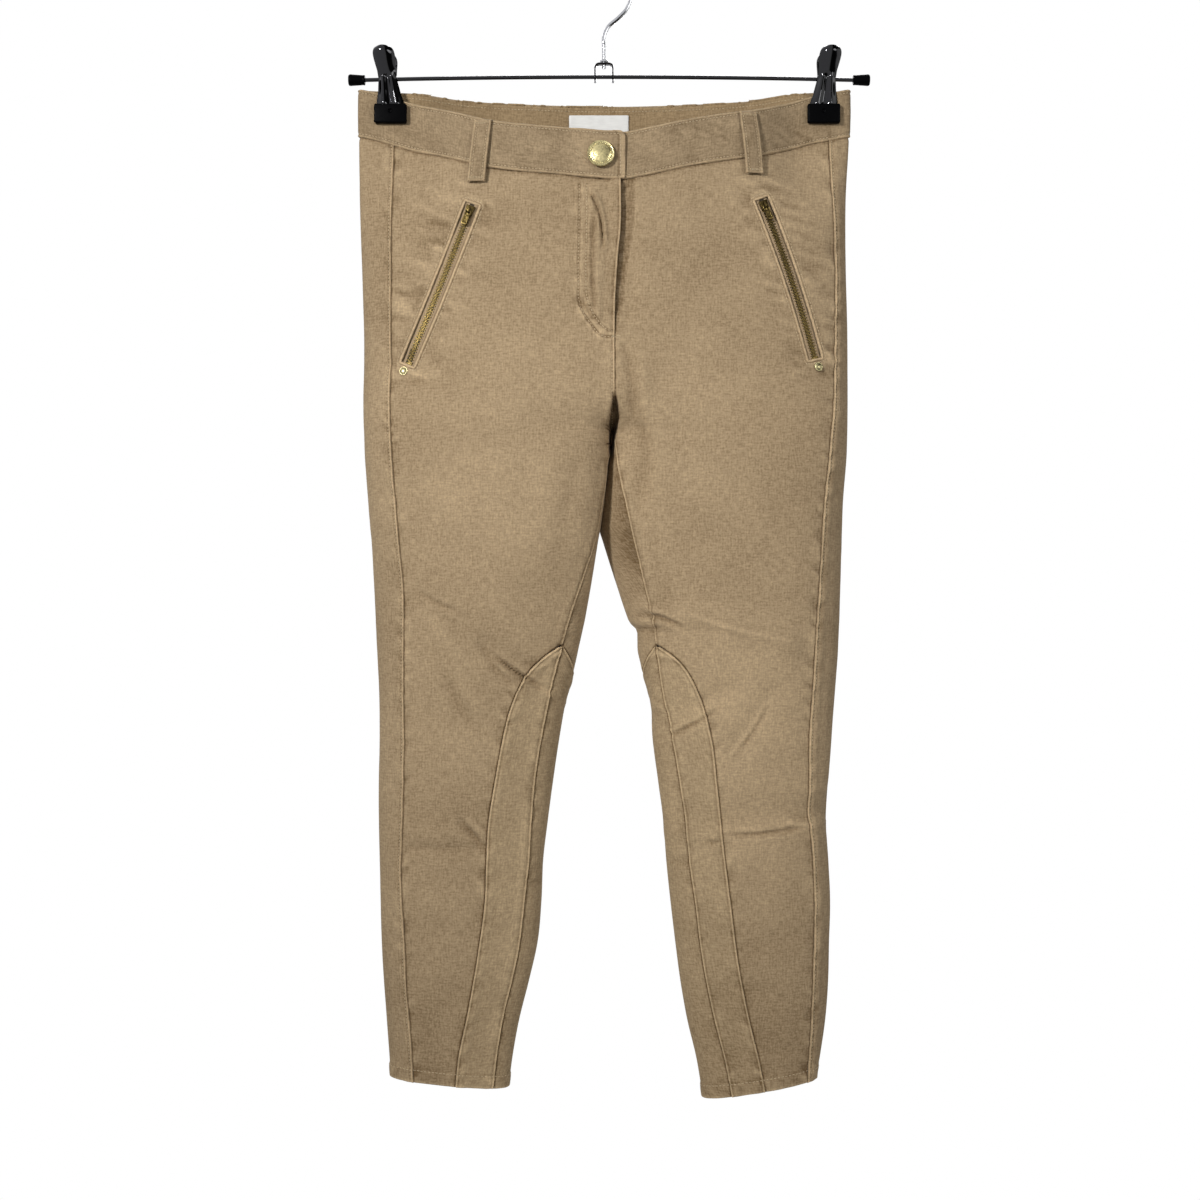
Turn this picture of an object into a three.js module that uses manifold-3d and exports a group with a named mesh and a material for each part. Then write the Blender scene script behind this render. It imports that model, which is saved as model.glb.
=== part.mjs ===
// Cropped skinny jeans in stretch twill, hung by the waistband from a metal clip hanger.
//
// Millimetres. +X is the viewer's right, which is the wearer's left. +Y points away from the viewer,
// so the front of the garment faces -Y. +Z is up. The origin is the inside of the top of the hook.

import * as THREE from 'three';
import { mergeVertices } from 'three/addons/utils/BufferGeometryUtils.js';
import Module from 'manifold-3d';

const wasm = await Module();
wasm.setup();

// ---------------------------------------------------------------- driving dimensions

const GAP = 0.3; // between pieces that meet
const SEAM_PULL = 0.2; // each panel stops this far short of its seam line
const WAIST_PULL = 0.45; // and this far at the waist seam
const CENTRE_X = 7; // the rise seam, slightly off the hook's line as the garment hangs

const TWILL = 1.2; // cloth wall
const BAND_WALL = 2.2; // folded waistband
const BAND_PROUD = 0.6; // waistband face, in front of the panels' face
const BAND_HEIGHT = 40.8;

// The right end of the front band laps over the left end. From liftFrom the cloth rises over the length
// liftOver. The top corner of its end is cut back.
const LAP = { end: 17, under: -6, corner: 5, lift: 2.6, liftFrom: -32, liftOver: 22 };

const WAIST_TOP = -115.6; // top edge of the band at its outer ends
const WAIST_SEAM = WAIST_TOP - BAND_HEIGHT;
const FRONT_DIP = 44; // how far the front of the waist drops at the centre
const BACK_DIP = 7;
const BACK_DIP_POWER = 1.5;
const DIP_REACH = 190; // the dip dies out this far below the waist seam

const HEM = { right: -953, left: -955 }; // hem level at the outer edge
const HEM_SLOPE = { right: 9, left: 16 }; // drop from the outer edge to the inner edge
const HEM_REACH = 130;

const CROTCH = -404; // above it the halves are joined along the rise, below it each leg closes

const SIDE_SIGN = { right: -1, left: 1 };

// Sections of the garment, from the waist down. Distances are measured from the centre line.
// outRight, outLeft: outer edges. past: share of the half width by which the oval runs past the
// centre line. inRight, inLeft: inner edges of the legs. front, back: half depths. power: squareness.
// tipRight, tipLeft: how far each leg's inner edge lies behind (+) or in front (-).
const SECTIONS = table(
  ['z', 'outRight', 'outLeft', 'past', 'inRight', 'inLeft', 'front', 'back', 'power', 'tipRight', 'tipLeft'],
  [
    [-105, 216, 201, 1.0, 0, 0, 25, 25, 2.2, 0, 0],
    [-155, 216, 200.5, 1.0, 0, 0, 32, 29, 2.2, 0, 0],
    [-209, 215.3, 197.4, 1.0, 0, 0, 38, 40, 2.3, 0, 0],
    [-260, 213.6, 197.2, 1.0, 0, 0, 42, 50, 2.35, 0, 0],
    [-320, 211.6, 198.6, 0.88, 0, 0, 44, 56, 2.4, 0, 0],
    [-352, 211.5, 198.8, 0.66, 0, 0, 45, 56, 2.4, 0, 0],
    [-375, 211.8, 198.7, 0.36, 0, 0, 46, 55, 2.4, 0, 0],
    [-390, 211.5, 198.2, 0.13, 0, 0, 46, 54, 2.4, 0, 0],
    [-400, 211.2, 197.8, 0.03, 0, 0, 46, 54, 2.4, 0, 0],
    [-408, 210.8, 197.6, 0, 1.5, 0.5, 46, 54, 2.4, -1.5, 1.5],
    [-430, 210, 197, 0, 5, -3.5, 46, 53, 2.4, -5, 5],
    [-464, 207.6, 194.5, 0, 9, -8.5, 44, 51, 2.35, -9, 9],
    [-488, 206, 193.8, 0, 11.5, -10.2, 43, 49, 2.3, -10, 10],
    [-498, 205, 193.6, 0, 13, -8.7, 42, 48, 2.3, -10, 10],
    [-532, 203.4, 192.8, 0, 18, 1.5, 40, 45, 2.3, -8, 8],
    [-566, 201.7, 191.9, 0, 24, 12.8, 38, 42, 2.3, -5, 5],
    [-600, 200, 190.2, 0, 31.5, 22.5, 36, 39, 2.3, -3, 3],
    [-634, 198.3, 187.6, 0, 40, 31, 34, 37, 2.3, -2, 2],
    [-668, 198.3, 185.1, 0, 46, 33.5, 32, 35, 2.3, 0, 0],
    [-702, 199.1, 182.6, 0, 51, 38, 31, 33, 2.3, 0, 0],
    [-736, 199.1, 180.9, 0, 55.5, 42.5, 30, 32, 2.3, 0, 0],
    [-770, 198.3, 182.6, 0, 59.5, 45, 29, 31, 2.3, 0, 0],
    [-804, 197.4, 184.2, 0, 61, 48.5, 28, 30, 2.3, 0, 0],
    [-838, 196.5, 183.4, 0, 64, 52.5, 26, 28, 2.3, 0, 0],
    [-872, 194.8, 182.6, 0, 71.5, 57, 24, 26, 2.3, 0, 0],
    [-906, 192.3, 180, 0, 80, 63, 22, 24, 2.3, 0, 0],
    [-940, 189.7, 175, 0, 86, 71, 20, 22, 2.3, 0, 0],
    [-980, 187, 168, 0, 91, 77, 19, 20, 2.3, 0, 0],
  ],
);

// Seam lines on the front, as distances from the centre line.
const SEAMS = table(
  ['z', 'sideRight', 'sideLeft', 'inseamRight', 'inseamLeft', 'fly'],
  [
    [-150, 186, 183, 0, 0, 5.6],
    [-200, 186, 184, 0, 0, 5.6],
    [-246, 186, 185.5, 0, 0, 2.8],
    [-300, 186, 186, 0, 0, 0.8],
    [-379, 186, 184, 0, 0, 0.4],
    [-404, 185, 181.5, 0, 0, 0],
    [-430, 184, 179, 5, 3, 0],
    [-464, 182, 176, 9.5, 10, 0],
    [-498, 179, 174, 16, 17, 0],
    [-532, 176, 172, 26, 25, 0],
    [-566, 175, 170, 37, 33, 0],
    [-600, 175, 168, 46, 37.5, 0],
    [-634, 175, 166, 54, 43, 0],
    [-668, 175, 164, 61, 50, 0],
    [-702, 176, 164, 66, 56, 0],
    [-736, 177, 165, 69, 61, 0],
    [-770, 178, 168, 71, 64, 0],
    [-804, 177, 169, 75, 69, 0],
    [-838, 175, 169, 79, 73, 0],
    [-872, 174, 168, 86, 79, 0],
    [-906, 171, 167, 94, 87, 0],
    [-940, 169, 165, 99, 96, 0],
    [-980, 167, 162, 104, 104, 0],
  ],
);

// The inner-leg insets. right, left: the curved seam on the front, from the centre line.
// around: width of the back inset, measured round the cloth from the inseam.
const INSET_TOP = -587;
const INSETS = table(
  ['z', 'right', 'left', 'around'],
  [
    [-587, 43.8, 36.4, 0],
    [-599, 60, 53, 12],
    [-615, 74, 65, 27],
    [-641, 86, 75.5, 42],
    [-670, 93, 82.5, 50],
    [-700, 98.5, 86, 55],
    [-735, 104, 89.5, 58],
    [-770, 106, 93.5, 60],
    [-805, 107.5, 98, 60],
    [-850, 114, 104, 59],
    [-893, 122, 113, 57],
    [-930, 130, 122.5, 54],
    [-980, 134, 132, 50],
  ],
);

// Levels at which the panels are cut into rows; dips at the waist and hem are added to them.
const LEVELS = [
  -170, -188, -212, -240, -270, -300, -326, -350, -370, -384, -394, -401, -408, -418, -434, -460,
  -486, -512, -540, -565, INSET_TOP, -599, -614, -634, -662, -694, -728, -762, -796, -830, -864, -896, -928,
];

// The largest folds. Each is a soft ridge (+) or trough (-) along a line on one face of one leg.
const FOLDS = table(
  ['face', 'side', 'x1', 'z1', 'x2', 'z2', 'width', 'height'],
  [
    ['front', 'left', 60, -559, 155, -585, 9, 2.2],
    ['front', 'left', 46, -655, 100, -625, 10, -2.5],
    ['front', 'left', 112, -668, 138, -628, 9, -2.2],
    ['front', 'left', 98, -732, 182, -724, 14, -3.4],
    ['front', 'left', 60, -744, 90, -746, 8, 1.8],
    ['front', 'right', -98, -590, -52, -620, 10, -2.4],
    ['front', 'right', -118, -737, -104, -752, 9, -1.8],
    ['front', 'right', -178, -350, -145, -362, 12, -2.2],
    ['front', 'right', -170, -470, -120, -520, 16, -2],
    ['front', 'left', 20, -420, 70, -500, 18, -2.4],
    ['front', 'left', 17, -210, 19, -310, 8, -2.6],
    ['front', 'right', -7, -200, -6, -315, 7, 1.6],
    ['back', 'right', -60, -395, -150, -440, 14, -3],
    ['back', 'right', -60, -430, -130, -490, 14, -2.6],
    ['back', 'left', 70, -392, 160, -435, 14, -3],
    ['back', 'left', 70, -428, 140, -492, 14, -2.6],
    ['back', 'right', -60, -628, -160, -640, 12, -3],
    ['back', 'right', -70, -668, -170, -655, 12, -2.4],
    ['back', 'left', 55, -640, 150, -622, 12, -3],
    ['back', 'left', 70, -700, 165, -712, 12, -2.4],
  ],
);

// Share of the front's dip that is left at each share of the way out, which is given as its negative.
const WAIST_CURVE = table(['z', 'right', 'left'], [
  [0, 1, 1],
  [-0.06, 0.99, 0.985],
  [-0.18, 0.91, 0.875],
  [-0.32, 0.85, 0.73],
  [-0.42, 0.795, 0.65],
  [-0.5, 0.725, 0.59],
  [-0.6, 0.58, 0.505],
  [-0.7, 0.415, 0.36],
  [-0.82, 0.24, 0.17],
  [-0.93, 0.075, 0.065],
  [-1, 0, 0],
]);

// Pocket zips. A positive bow curves the line towards the centre of the garment.
const ZIPS = {
  right: { top: [-110.2, -219.5], bottom: [-164.7, -353.2], bow: 1.2 },
  left: { top: [129.8, -214.8], bottom: [175.1, -348.6], bow: -2.2 },
};
const SLOT_WIDTH = 12.5;
const TAPE = { width: 22, thick: 0.8, overlap: 5, clear: 1.2 };
const CHAIN = { width: 5.6, thick: 1.6, proud: 0.4 };
const SLIDER = { length: 9, width: 7.6, thick: 2.8, base: -1.1, fromTop: 7 };
const BAIL = { wire: 1.0, width: 1.6, opening: 2.4, height: 2.1 };
const PULL = { length: 17, width: 5.6, ring: 4.6, thick: 1.1, hole: 2.8, bar: 1.1 };

const BUTTON = { x: -3.4, z: -180.4, radius: 11.3, height: 4.2, off: 0.5 };
const RIVET = { radius: 3.7, height: 1.6, off: 0.9, right: [-167.9, -358.4], left: [177.3, -355] };
const LABEL = { left: -31, right: 20.5, top: -130.4, height: 24, thick: 0.6 };
const LOOP = { width: 14.6, thick: 1.6, lift: 1.6, clear: 0.9, clearBack: 1.7 };
const LOOP_ENDS = { front: { over: -2, under: 15 }, back: { over: 1.5, under: 8 } }; // past the band's edges
const FRONT_LOOPS = { right: [-101.4, -106.8], left: [118.7, 124] }; // x at the top and the bottom
const BACK_LOOPS = { right: -155, left: 131, centre: -9 };

const ROD = { left: -213, right: 220, centreZ: -104.6, sag: 2.8, radius: 1.7 };
const CAP = { length: 14, bore: 2.0, inner: 4.2, outer: 4.9, depth: 10 };
const HOOK = { x: -0.8, wire: 1.7, arcRadius: 26, stemBottom: -97.5, arcFrom: -22, arcTo: 198, arcStep: 22 };
const BRACKET = { half: 7.6, top: -92.6, bottom: -109.5, wire: 1.1, corner: 2.4, depth: 10 };
const COLLAR = { radius: 2.6, height: 2.4 };
const CLIPS = { right: -181.5, left: 185 };
const CLIP = {
  half: 16, // half width of the cloth held flat
  grip: 3.8, // from the middle to the cloth's face
  padTop: -129.6,
  padBottom: -146,
  padWidth: 28,
  padWall: 2.6, // rubber between the lever and the cloth
  padCover: 1.4, // rubber over the lever
  footHalf: 11, // half width of the lever's foot, and how far it reaches into the pad
  footDepth: 6,
  leverTop: -81.2,
  wall: 1.4,
};

// How the hold of a clip fades: beyond its jaw outward and inward, and down from a level over a length.
const PINCH = { outward: 60, inward: 30, level: -152, down: 85, squareness: 90 };

const TURN = [0.2, 0.07]; // angles of the tight columns either side of the outer edge

const COLOURS = {
  twill: 0xa48c6e,
  twillDark: 0x8c785a,
  brass: 0xc9b77c,
  satin: 0xf0f0ee,
  tape: 0x86714f,
  blackSteel: 0x1d1b1e,
  rubber: 0x121212,
  chrome: 0xc8cacc,
};

// ---------------------------------------------------------------- tables and small helpers

function table(names, rows) {
  return rows.map((row) => Object.fromEntries(names.map((name, i) => [name, row[i]])));
}

/** Value of one column at a height, eased smoothly between the rows. */
function column(rows, name, z) {
  const last = rows.length - 1;
  if (z >= rows[0].z) return rows[0][name];
  if (z <= rows[last].z) return rows[last][name];
  let i = 0;
  while (rows[i + 1].z > z) i += 1;
  const span = rows[i + 1].z - rows[i].z;
  const t = (z - rows[i].z) / span;
  const slope = (k) => {
    const a = rows[Math.max(k - 1, 0)];
    const b = rows[Math.min(k + 1, last)];
    return ((b[name] - a[name]) / (b.z - a.z)) * span;
  };
  const t2 = t * t;
  const t3 = t2 * t;
  return (
    rows[i][name] * (2 * t3 - 3 * t2 + 1) +
    slope(i) * (t3 - 2 * t2 + t) +
    rows[i + 1][name] * (3 * t2 - 2 * t3) +
    slope(i + 1) * (t3 - t2)
  );
}

function smooth(t) {
  const s = Math.min(Math.max(t, 0), 1);
  return s * s * (3 - 2 * s);
}

function lerp(a, b, t) {
  return a + (b - a) * t;
}

function capital(word) {
  return word[0].toUpperCase() + word.slice(1);
}

// ---------------------------------------------------------------- the garment's surface

/** The oval of one half of the garment at a height: a leg, or half of the body above the crotch. */
function section(side, z) {
  const outer = column(SECTIONS, `out${capital(side)}`, z);
  const reach = column(SECTIONS, `in${capital(side)}`, z);
  const past = Math.max(column(SECTIONS, 'past', z), 0);
  const inner = reach - past * outer;
  return {
    outer,
    middle: (outer + inner) / 2,
    half: (outer - inner) / 2,
    front: column(SECTIONS, 'front', z),
    back: column(SECTIONS, 'back', z),
    power: column(SECTIONS, 'power', z),
    tip: column(SECTIONS, `tip${capital(side)}`, z),
  };
}

/** How firmly the clips hold the cloth flat at a point: 1 under a jaw, 0 away from it. */
function pinch(side, x, z) {
  const beyond = SIDE_SIGN[side] * (x - CLIPS[side]);
  const off = Math.max(Math.abs(beyond) - CLIP.half, 0);
  const reach = beyond > 0 ? PINCH.outward : PINCH.inward;
  return Math.exp(-((off / reach) ** 2)) * (1 - smooth((PINCH.level - z) / PINCH.down));
}

/** Point of the oval at a height. phi runs from the inner edge, over the front, to the outer edge at pi. */
function ovalPoint(side, z, phi) {
  const s = section(side, z);
  const u = -Math.cos(phi);
  const x = CENTRE_X + SIDE_SIGN[side] * (s.middle + s.half * u);
  const inFront = Math.sin(phi) >= 0;
  const full = (inFront ? s.front : s.back) * (1 - Math.abs(u) ** s.power) ** (1 / s.power);
  const flat = CLIP.grip * Math.sqrt(1 - Math.abs(u) ** PINCH.squareness);
  const depth = lerp(full, flat, pinch(side, x, z));
  const lean = s.tip * ((1 - u) / 2) ** 3;
  return new THREE.Vector3(x, (inFront ? -depth : depth) + lean, z);
}

/** phi of a distance from the centre line, on the front or the back of the oval. */
function phiAt(side, z, distance, onBack = false) {
  const s = section(side, z);
  const u = Math.min(Math.max((distance - s.middle) / s.half, -1), 1);
  const phi = Math.acos(-u);
  return onBack ? 2 * Math.PI - phi : phi;
}

/** How far the waist drops at a share of the way out from the centre line. */
function dipOf(side, share, onBack) {
  const s = Math.min(share, 1);
  return onBack ? BACK_DIP * (1 - s ** BACK_DIP_POWER) : FRONT_DIP * column(WAIST_CURVE, side, -s);
}

/** Height of a point of a row, with the dip of the waist and the slope of the hem. */
function heightAt(side, level, distance, onBack) {
  const s = section(side, level);
  const dip = dipOf(side, Math.abs(distance) / s.outer, onBack);
  const waistFade = 1 - smooth((WAIST_SEAM - level) / DIP_REACH);
  const inward = Math.min(Math.max((s.middle + s.half - distance) / (2 * s.half), 0), 1);
  const hemFade = 1 - smooth((level - HEM[side]) / HEM_REACH);
  return level - dip * waistFade - HEM_SLOPE[side] * inward * hemFade;
}

/** Soft ridges and troughs of the cloth at a point. */
function foldHeight(side, p) {
  const face = p.y < 0 ? 'front' : 'back';
  let height = 0;
  for (const f of FOLDS) {
    if (f.side !== side || f.face !== face) continue;
    const dx = f.x2 - f.x1;
    const dz = f.z2 - f.z1;
    const t = Math.min(Math.max(((p.x - f.x1) * dx + (p.z - f.z1) * dz) / (dx * dx + dz * dz), 0), 1);
    const off = Math.hypot(p.x - f.x1 - t * dx, p.z - f.z1 - t * dz);
    height += f.height * Math.exp(-((off / f.width) ** 2));
  }
  return height;
}

/** Point on the cloth's face and its outward normal, at a row level and phi. */
function facePoint(side, level, phi) {
  const rough = ovalPoint(side, level, phi);
  const distance = SIDE_SIGN[side] * (rough.x - CENTRE_X);
  const onBack = Math.sin(phi) < 0;
  return pointAndNormal(side, heightAt(side, level, distance, onBack), phi);
}

function pointAndNormal(side, z, phi) {
  const p = ovalPoint(side, z, phi);
  const e = 0.012;
  const along = ovalPoint(side, z, phi + e).sub(ovalPoint(side, z, phi - e));
  const down = ovalPoint(side, z - 2, phi).sub(ovalPoint(side, z + 2, phi));
  const normal = along.cross(down).normalize().multiplyScalar(side === 'right' ? 1 : -1);
  p.addScaledVector(normal, foldHeight(side, p));
  return { p, normal };
}

/** Move along the oval from phi by a length, positive towards the outer edge over the front. */
function step(side, z, phi, length) {
  const pieces = 12;
  const turn = 0.004;
  const slowest = 20;
  let at = phi;
  for (let i = 0; i < pieces; i += 1) {
    const ahead = ovalPoint(side, z, at + Math.sign(length) * turn);
    const speed = ahead.distanceTo(ovalPoint(side, z, at)) / turn;
    at += length / pieces / Math.max(speed, slowest);
  }
  return at;
}

/** Stops at equal lengths along the oval between two phi. */
function evenly(side, z, from, to, count) {
  const samples = 48;
  const lengths = [0];
  let last = ovalPoint(side, z, from);
  for (let i = 1; i <= samples; i += 1) {
    const next = ovalPoint(side, z, lerp(from, to, i / samples));
    lengths.push(lengths[i - 1] + next.distanceTo(last));
    last = next;
  }
  const stops = [];
  for (let k = 0; k <= count; k += 1) {
    const target = (lengths[samples] * k) / count;
    let i = 1;
    while (i < samples && lengths[i] < target) i += 1;
    const t = (target - lengths[i - 1]) / (lengths[i] - lengths[i - 1]);
    stops.push(lerp(from, to, (i - 1 + t) / samples));
  }
  return stops;
}

// ---------------------------------------------------------------- seam lines as phi

function seamPhi(side, level, name) {
  const z = level;
  if (name === 'side') {
    const d = column(SEAMS, `side${capital(side)}`, z);
    return phiAt(side, heightAt(side, level, d, false), d);
  }
  if (name === 'fly') {
    const d = column(SEAMS, 'fly', z) * SIDE_SIGN[side];
    return phiAt(side, heightAt(side, level, d, false), d);
  }
  if (name === 'inseam') return phiAt(side, z, column(SEAMS, `inseam${capital(side)}`, z));
  if (name === 'inset') {
    const d = column(INSETS, side, z);
    return phiAt(side, heightAt(side, level, d, false), d);
  }
  if (name === 'insetBack') {
    const start = 2 * Math.PI + seamPhi(side, level, 'inseam');
    return step(side, z, start, -column(INSETS, 'around', z));
  }
  return phiAt(side, heightAt(side, level, 0, true), 0, true); // centre back
}

/** The two edges of a panel at a level, already pulled back from the seams. */
function panelEdges(side, level, kind) {
  const above = level > CROTCH;
  const below = level < INSET_TOP + 1;
  const edges = {
    front: [above ? 'fly' : 'inseam', 'side'],
    back: ['side', above ? 'centre' : 'inseam'],
    inset: ['inseam', 'inset'],
    backInset: ['insetBack', 'inseam'],
  }[kind];
  if (kind === 'front' && below) edges[0] = 'inset';
  if (kind === 'back' && below) edges[1] = 'insetBack';
  let [from, to] = edges.map((name) => seamPhi(side, level, name));
  if (edges[1] === 'inseam') to += 2 * Math.PI;
  return [step(side, level, from, SEAM_PULL), step(side, level, to, -SEAM_PULL)];
}

/** phi, on the back, of the line under the inner edge of the clip's jaw. */
function jawStop(side, level) {
  return phiAt(side, level, Math.abs(CLIPS[side] - CENTRE_X) - CLIP.half, true);
}

function outerStops() {
  return [Math.PI - TURN[0], Math.PI - TURN[1], Math.PI + TURN[1], Math.PI + TURN[0]];
}

/** Where the columns of a panel lie between its two edges. Tight columns follow the outer edge's turn. */
function panelStops(side, level, kind, from, to) {
  if (kind === 'front') return evenly(side, level, from, to, 8);
  if (kind === 'inset' || kind === 'backInset') return evenly(side, level, from, to, 4);
  const outer = outerStops();
  const inner = Math.min(2 * Math.PI - 0.25, to - 0.1);
  const jaw = jawStop(side, level);
  return [
    from,
    lerp(from, outer[0], 0.5),
    ...outer,
    (outer[3] + jaw) / 2,
    ...evenly(side, level, jaw, inner, 6),
    lerp(inner, to, 0.5),
    to,
  ];
}

// ---------------------------------------------------------------- closed solids from grids

/** Closed wall between an outer and an inner grid of points (rows of equal length). */
function wall(outer, inner) {
  const rows = outer.length;
  const cols = outer[0].length;
  const vertices = [];
  for (const grid of [outer, inner]) {
    for (const row of grid) {
      for (const p of row) vertices.push(p.x, p.y, p.z);
    }
  }
  const at = (layer, r, c) => layer * rows * cols + r * cols + c;
  const indices = [];
  const quad = (a, b, c, d) => indices.push(a, b, c, a, c, d);
  for (let r = 0; r + 1 < rows; r += 1) {
    for (let c = 0; c + 1 < cols; c += 1) {
      quad(at(0, r, c), at(0, r + 1, c), at(0, r + 1, c + 1), at(0, r, c + 1));
      quad(at(1, r, c), at(1, r, c + 1), at(1, r + 1, c + 1), at(1, r + 1, c));
    }
  }
  for (let c = 0; c + 1 < cols; c += 1) {
    quad(at(0, 0, c), at(0, 0, c + 1), at(1, 0, c + 1), at(1, 0, c));
    quad(at(0, rows - 1, c + 1), at(0, rows - 1, c), at(1, rows - 1, c), at(1, rows - 1, c + 1));
  }
  for (let r = 0; r + 1 < rows; r += 1) {
    quad(at(0, r + 1, 0), at(0, r, 0), at(1, r, 0), at(1, r + 1, 0));
    quad(at(0, r, cols - 1), at(0, r + 1, cols - 1), at(1, r + 1, cols - 1), at(1, r, cols - 1));
  }
  const geometry = new THREE.BufferGeometry();
  geometry.setAttribute('position', new THREE.Float32BufferAttribute(vertices, 3));
  geometry.setIndex(indices);
  if (volume(geometry) < 0) turnFaces(geometry);
  return geometry;
}

function volume(geometry) {
  const position = geometry.getAttribute('position');
  const index = geometry.index.array;
  const [a, b, c] = [new THREE.Vector3(), new THREE.Vector3(), new THREE.Vector3()];
  let sum = 0;
  for (let i = 0; i < index.length; i += 3) {
    a.fromBufferAttribute(position, index[i]);
    b.fromBufferAttribute(position, index[i + 1]);
    c.fromBufferAttribute(position, index[i + 2]);
    sum += a.dot(b.cross(c));
  }
  return sum / 6;
}

function turnFaces(geometry) {
  const index = geometry.index.array;
  for (let i = 0; i < index.length; i += 3) {
    const kept = index[i];
    index[i] = index[i + 1];
    index[i + 1] = kept;
  }
}

/** Wall of cloth from face points: its face is moved out by `proud`, its other side lies `thick` under it. */
function clothWall(facePoints, proud, thick) {
  const move = (point, offset) => point.p.clone().addScaledVector(point.normal, offset + (point.lift ?? 0));
  const moved = (offset) => facePoints.map((row) => row.map((point) => move(point, offset)));
  return wall(moved(proud), moved(proud - thick));
}

function toSolid(geometry) {
  const bare = geometry.clone();
  bare.deleteAttribute('normal');
  bare.deleteAttribute('uv');
  const merged = mergeVertices(bare, 1e-4);
  return new wasm.Manifold(
    new wasm.Mesh({
      numProp: 3,
      vertProperties: new Float32Array(merged.getAttribute('position').array),
      triVerts: new Uint32Array(merged.index.array),
    }),
  );
}

function fromSolid(solid) {
  const mesh = solid.getMesh();
  const geometry = new THREE.BufferGeometry();
  geometry.setAttribute('position', new THREE.BufferAttribute(mesh.vertProperties, 3));
  geometry.setIndex(new THREE.BufferAttribute(mesh.triVerts, 1));
  return geometry;
}

function join(...geometries) {
  return fromSolid(geometries.map(toSolid).reduce((a, b) => a.add(b)));
}

function cut(geometry, tool) {
  return fromSolid(toSolid(geometry).subtract(toSolid(tool)));
}

const garment = new THREE.Group();

function add(name, geometry, colour, finish = {}, parent = garment) {
  const material = new THREE.MeshStandardMaterial({ color: colour, roughness: 0.9, metalness: 0, ...finish });
  const mesh = new THREE.Mesh(geometry, material);
  mesh.name = name;
  parent.add(mesh);
  return mesh;
}

const BRASS = { roughness: 0.35, metalness: 1 };
const STEEL = { roughness: 0.25, metalness: 0.9 };
const CHROME = { roughness: 0.12, metalness: 1 };

// ---------------------------------------------------------------- panels

function panel(side, kind) {
  let levels;
  if (kind === 'front' || kind === 'back') levels = [WAIST_SEAM - WAIST_PULL, ...LEVELS, HEM[side]];
  else levels = [INSET_TOP - 3, ...LEVELS.filter((z) => z < INSET_TOP - 3), HEM[side]];
  const rows = levels.map((level) => {
    const [from, to] = panelEdges(side, level, kind);
    return panelStops(side, level, kind, from, to).map((phi) => facePoint(side, level, phi));
  });
  return clothWall(rows, 0, TWILL);
}

/** Face point straight in front of a given x and z. */
function frontPoint(x, z) {
  const side = x < CENTRE_X ? 'right' : 'left';
  return pointAndNormal(side, z, phiAt(side, z, SIDE_SIGN[side] * (x - CENTRE_X)));
}

function backPoint(x, z) {
  const side = x < CENTRE_X ? 'right' : 'left';
  return pointAndNormal(side, z, phiAt(side, z, SIDE_SIGN[side] * (x - CENTRE_X), true));
}

// ---------------------------------------------------------------- pocket zips

/** Point and directions on a zip's centre line, t from 0 at its top to 1 at its bottom. */
function zipStation(side, t) {
  const { top, bottom, bow } = ZIPS[side];
  const along = new THREE.Vector2(bottom[0] - top[0], bottom[1] - top[1]);
  const inward = new THREE.Vector2(-along.y, along.x).normalize();
  if (inward.x * SIDE_SIGN[side] > 0) inward.negate();
  const bulge = 4 * bow * t * (1 - t);
  const at = new THREE.Vector2(...top).addScaledVector(along, t).addScaledVector(inward, bulge);
  const direction = along.clone().addScaledVector(inward, 4 * bow * (1 - 2 * t)).normalize();
  return { at, direction, across: new THREE.Vector2(-direction.y, direction.x), length: along.length() };
}

/** Strip that follows the cloth along a zip, between two shares of its length. */
function zipStrip(side, from, to, width, proud, thick, steps) {
  const rows = [];
  for (let i = 0; i <= steps; i += 1) {
    const t = lerp(from, to, i / steps);
    const inside = Math.min(Math.max(t, 0), 1);
    const { at, direction, across, length } = zipStation(side, inside);
    const spare = (t - inside) * length;
    const row = [-0.5, 0, 0.5].map((share) => {
      const q = at.clone().addScaledVector(across, share * width).addScaledVector(direction, spare);
      return frontPoint(q.x, q.y);
    });
    rows.push(row);
  }
  return clothWall(rows, proud, thick);
}

/** Prism through the front panel, along the zip, with square ends. */
function zipSlot(side) {
  const steps = 8;
  const edge = (share) => {
    const points = [];
    for (let i = 0; i <= steps; i += 1) {
      const { at, across } = zipStation(side, i / steps);
      points.push(at.clone().addScaledVector(across, share * SLOT_WIDTH));
    }
    return points;
  };
  const outline = [...edge(-0.5), ...edge(0.5).reverse()];
  const prism = new THREE.ExtrudeGeometry(new THREE.Shape(outline), { depth: 80, bevelEnabled: false });
  prism.rotateX(Math.PI / 2); // the shape's y becomes z, and the extrusion runs along -Y
  prism.translate(0, -2, 0);
  return prism;
}

function roundedRect(width, length, radius) {
  const shape = new THREE.Shape();
  const w = width / 2;
  const l = length / 2;
  shape.moveTo(-l + radius, -w);
  shape.lineTo(l - radius, -w);
  shape.absarc(l - radius, -w + radius, radius, -Math.PI / 2, 0, false);
  shape.absarc(l - radius, w - radius, radius, 0, Math.PI / 2, false);
  shape.absarc(-l + radius, w - radius, radius, Math.PI / 2, Math.PI, false);
  shape.absarc(-l + radius, -w + radius, radius, Math.PI, 1.5 * Math.PI, false);
  return shape;
}

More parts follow.
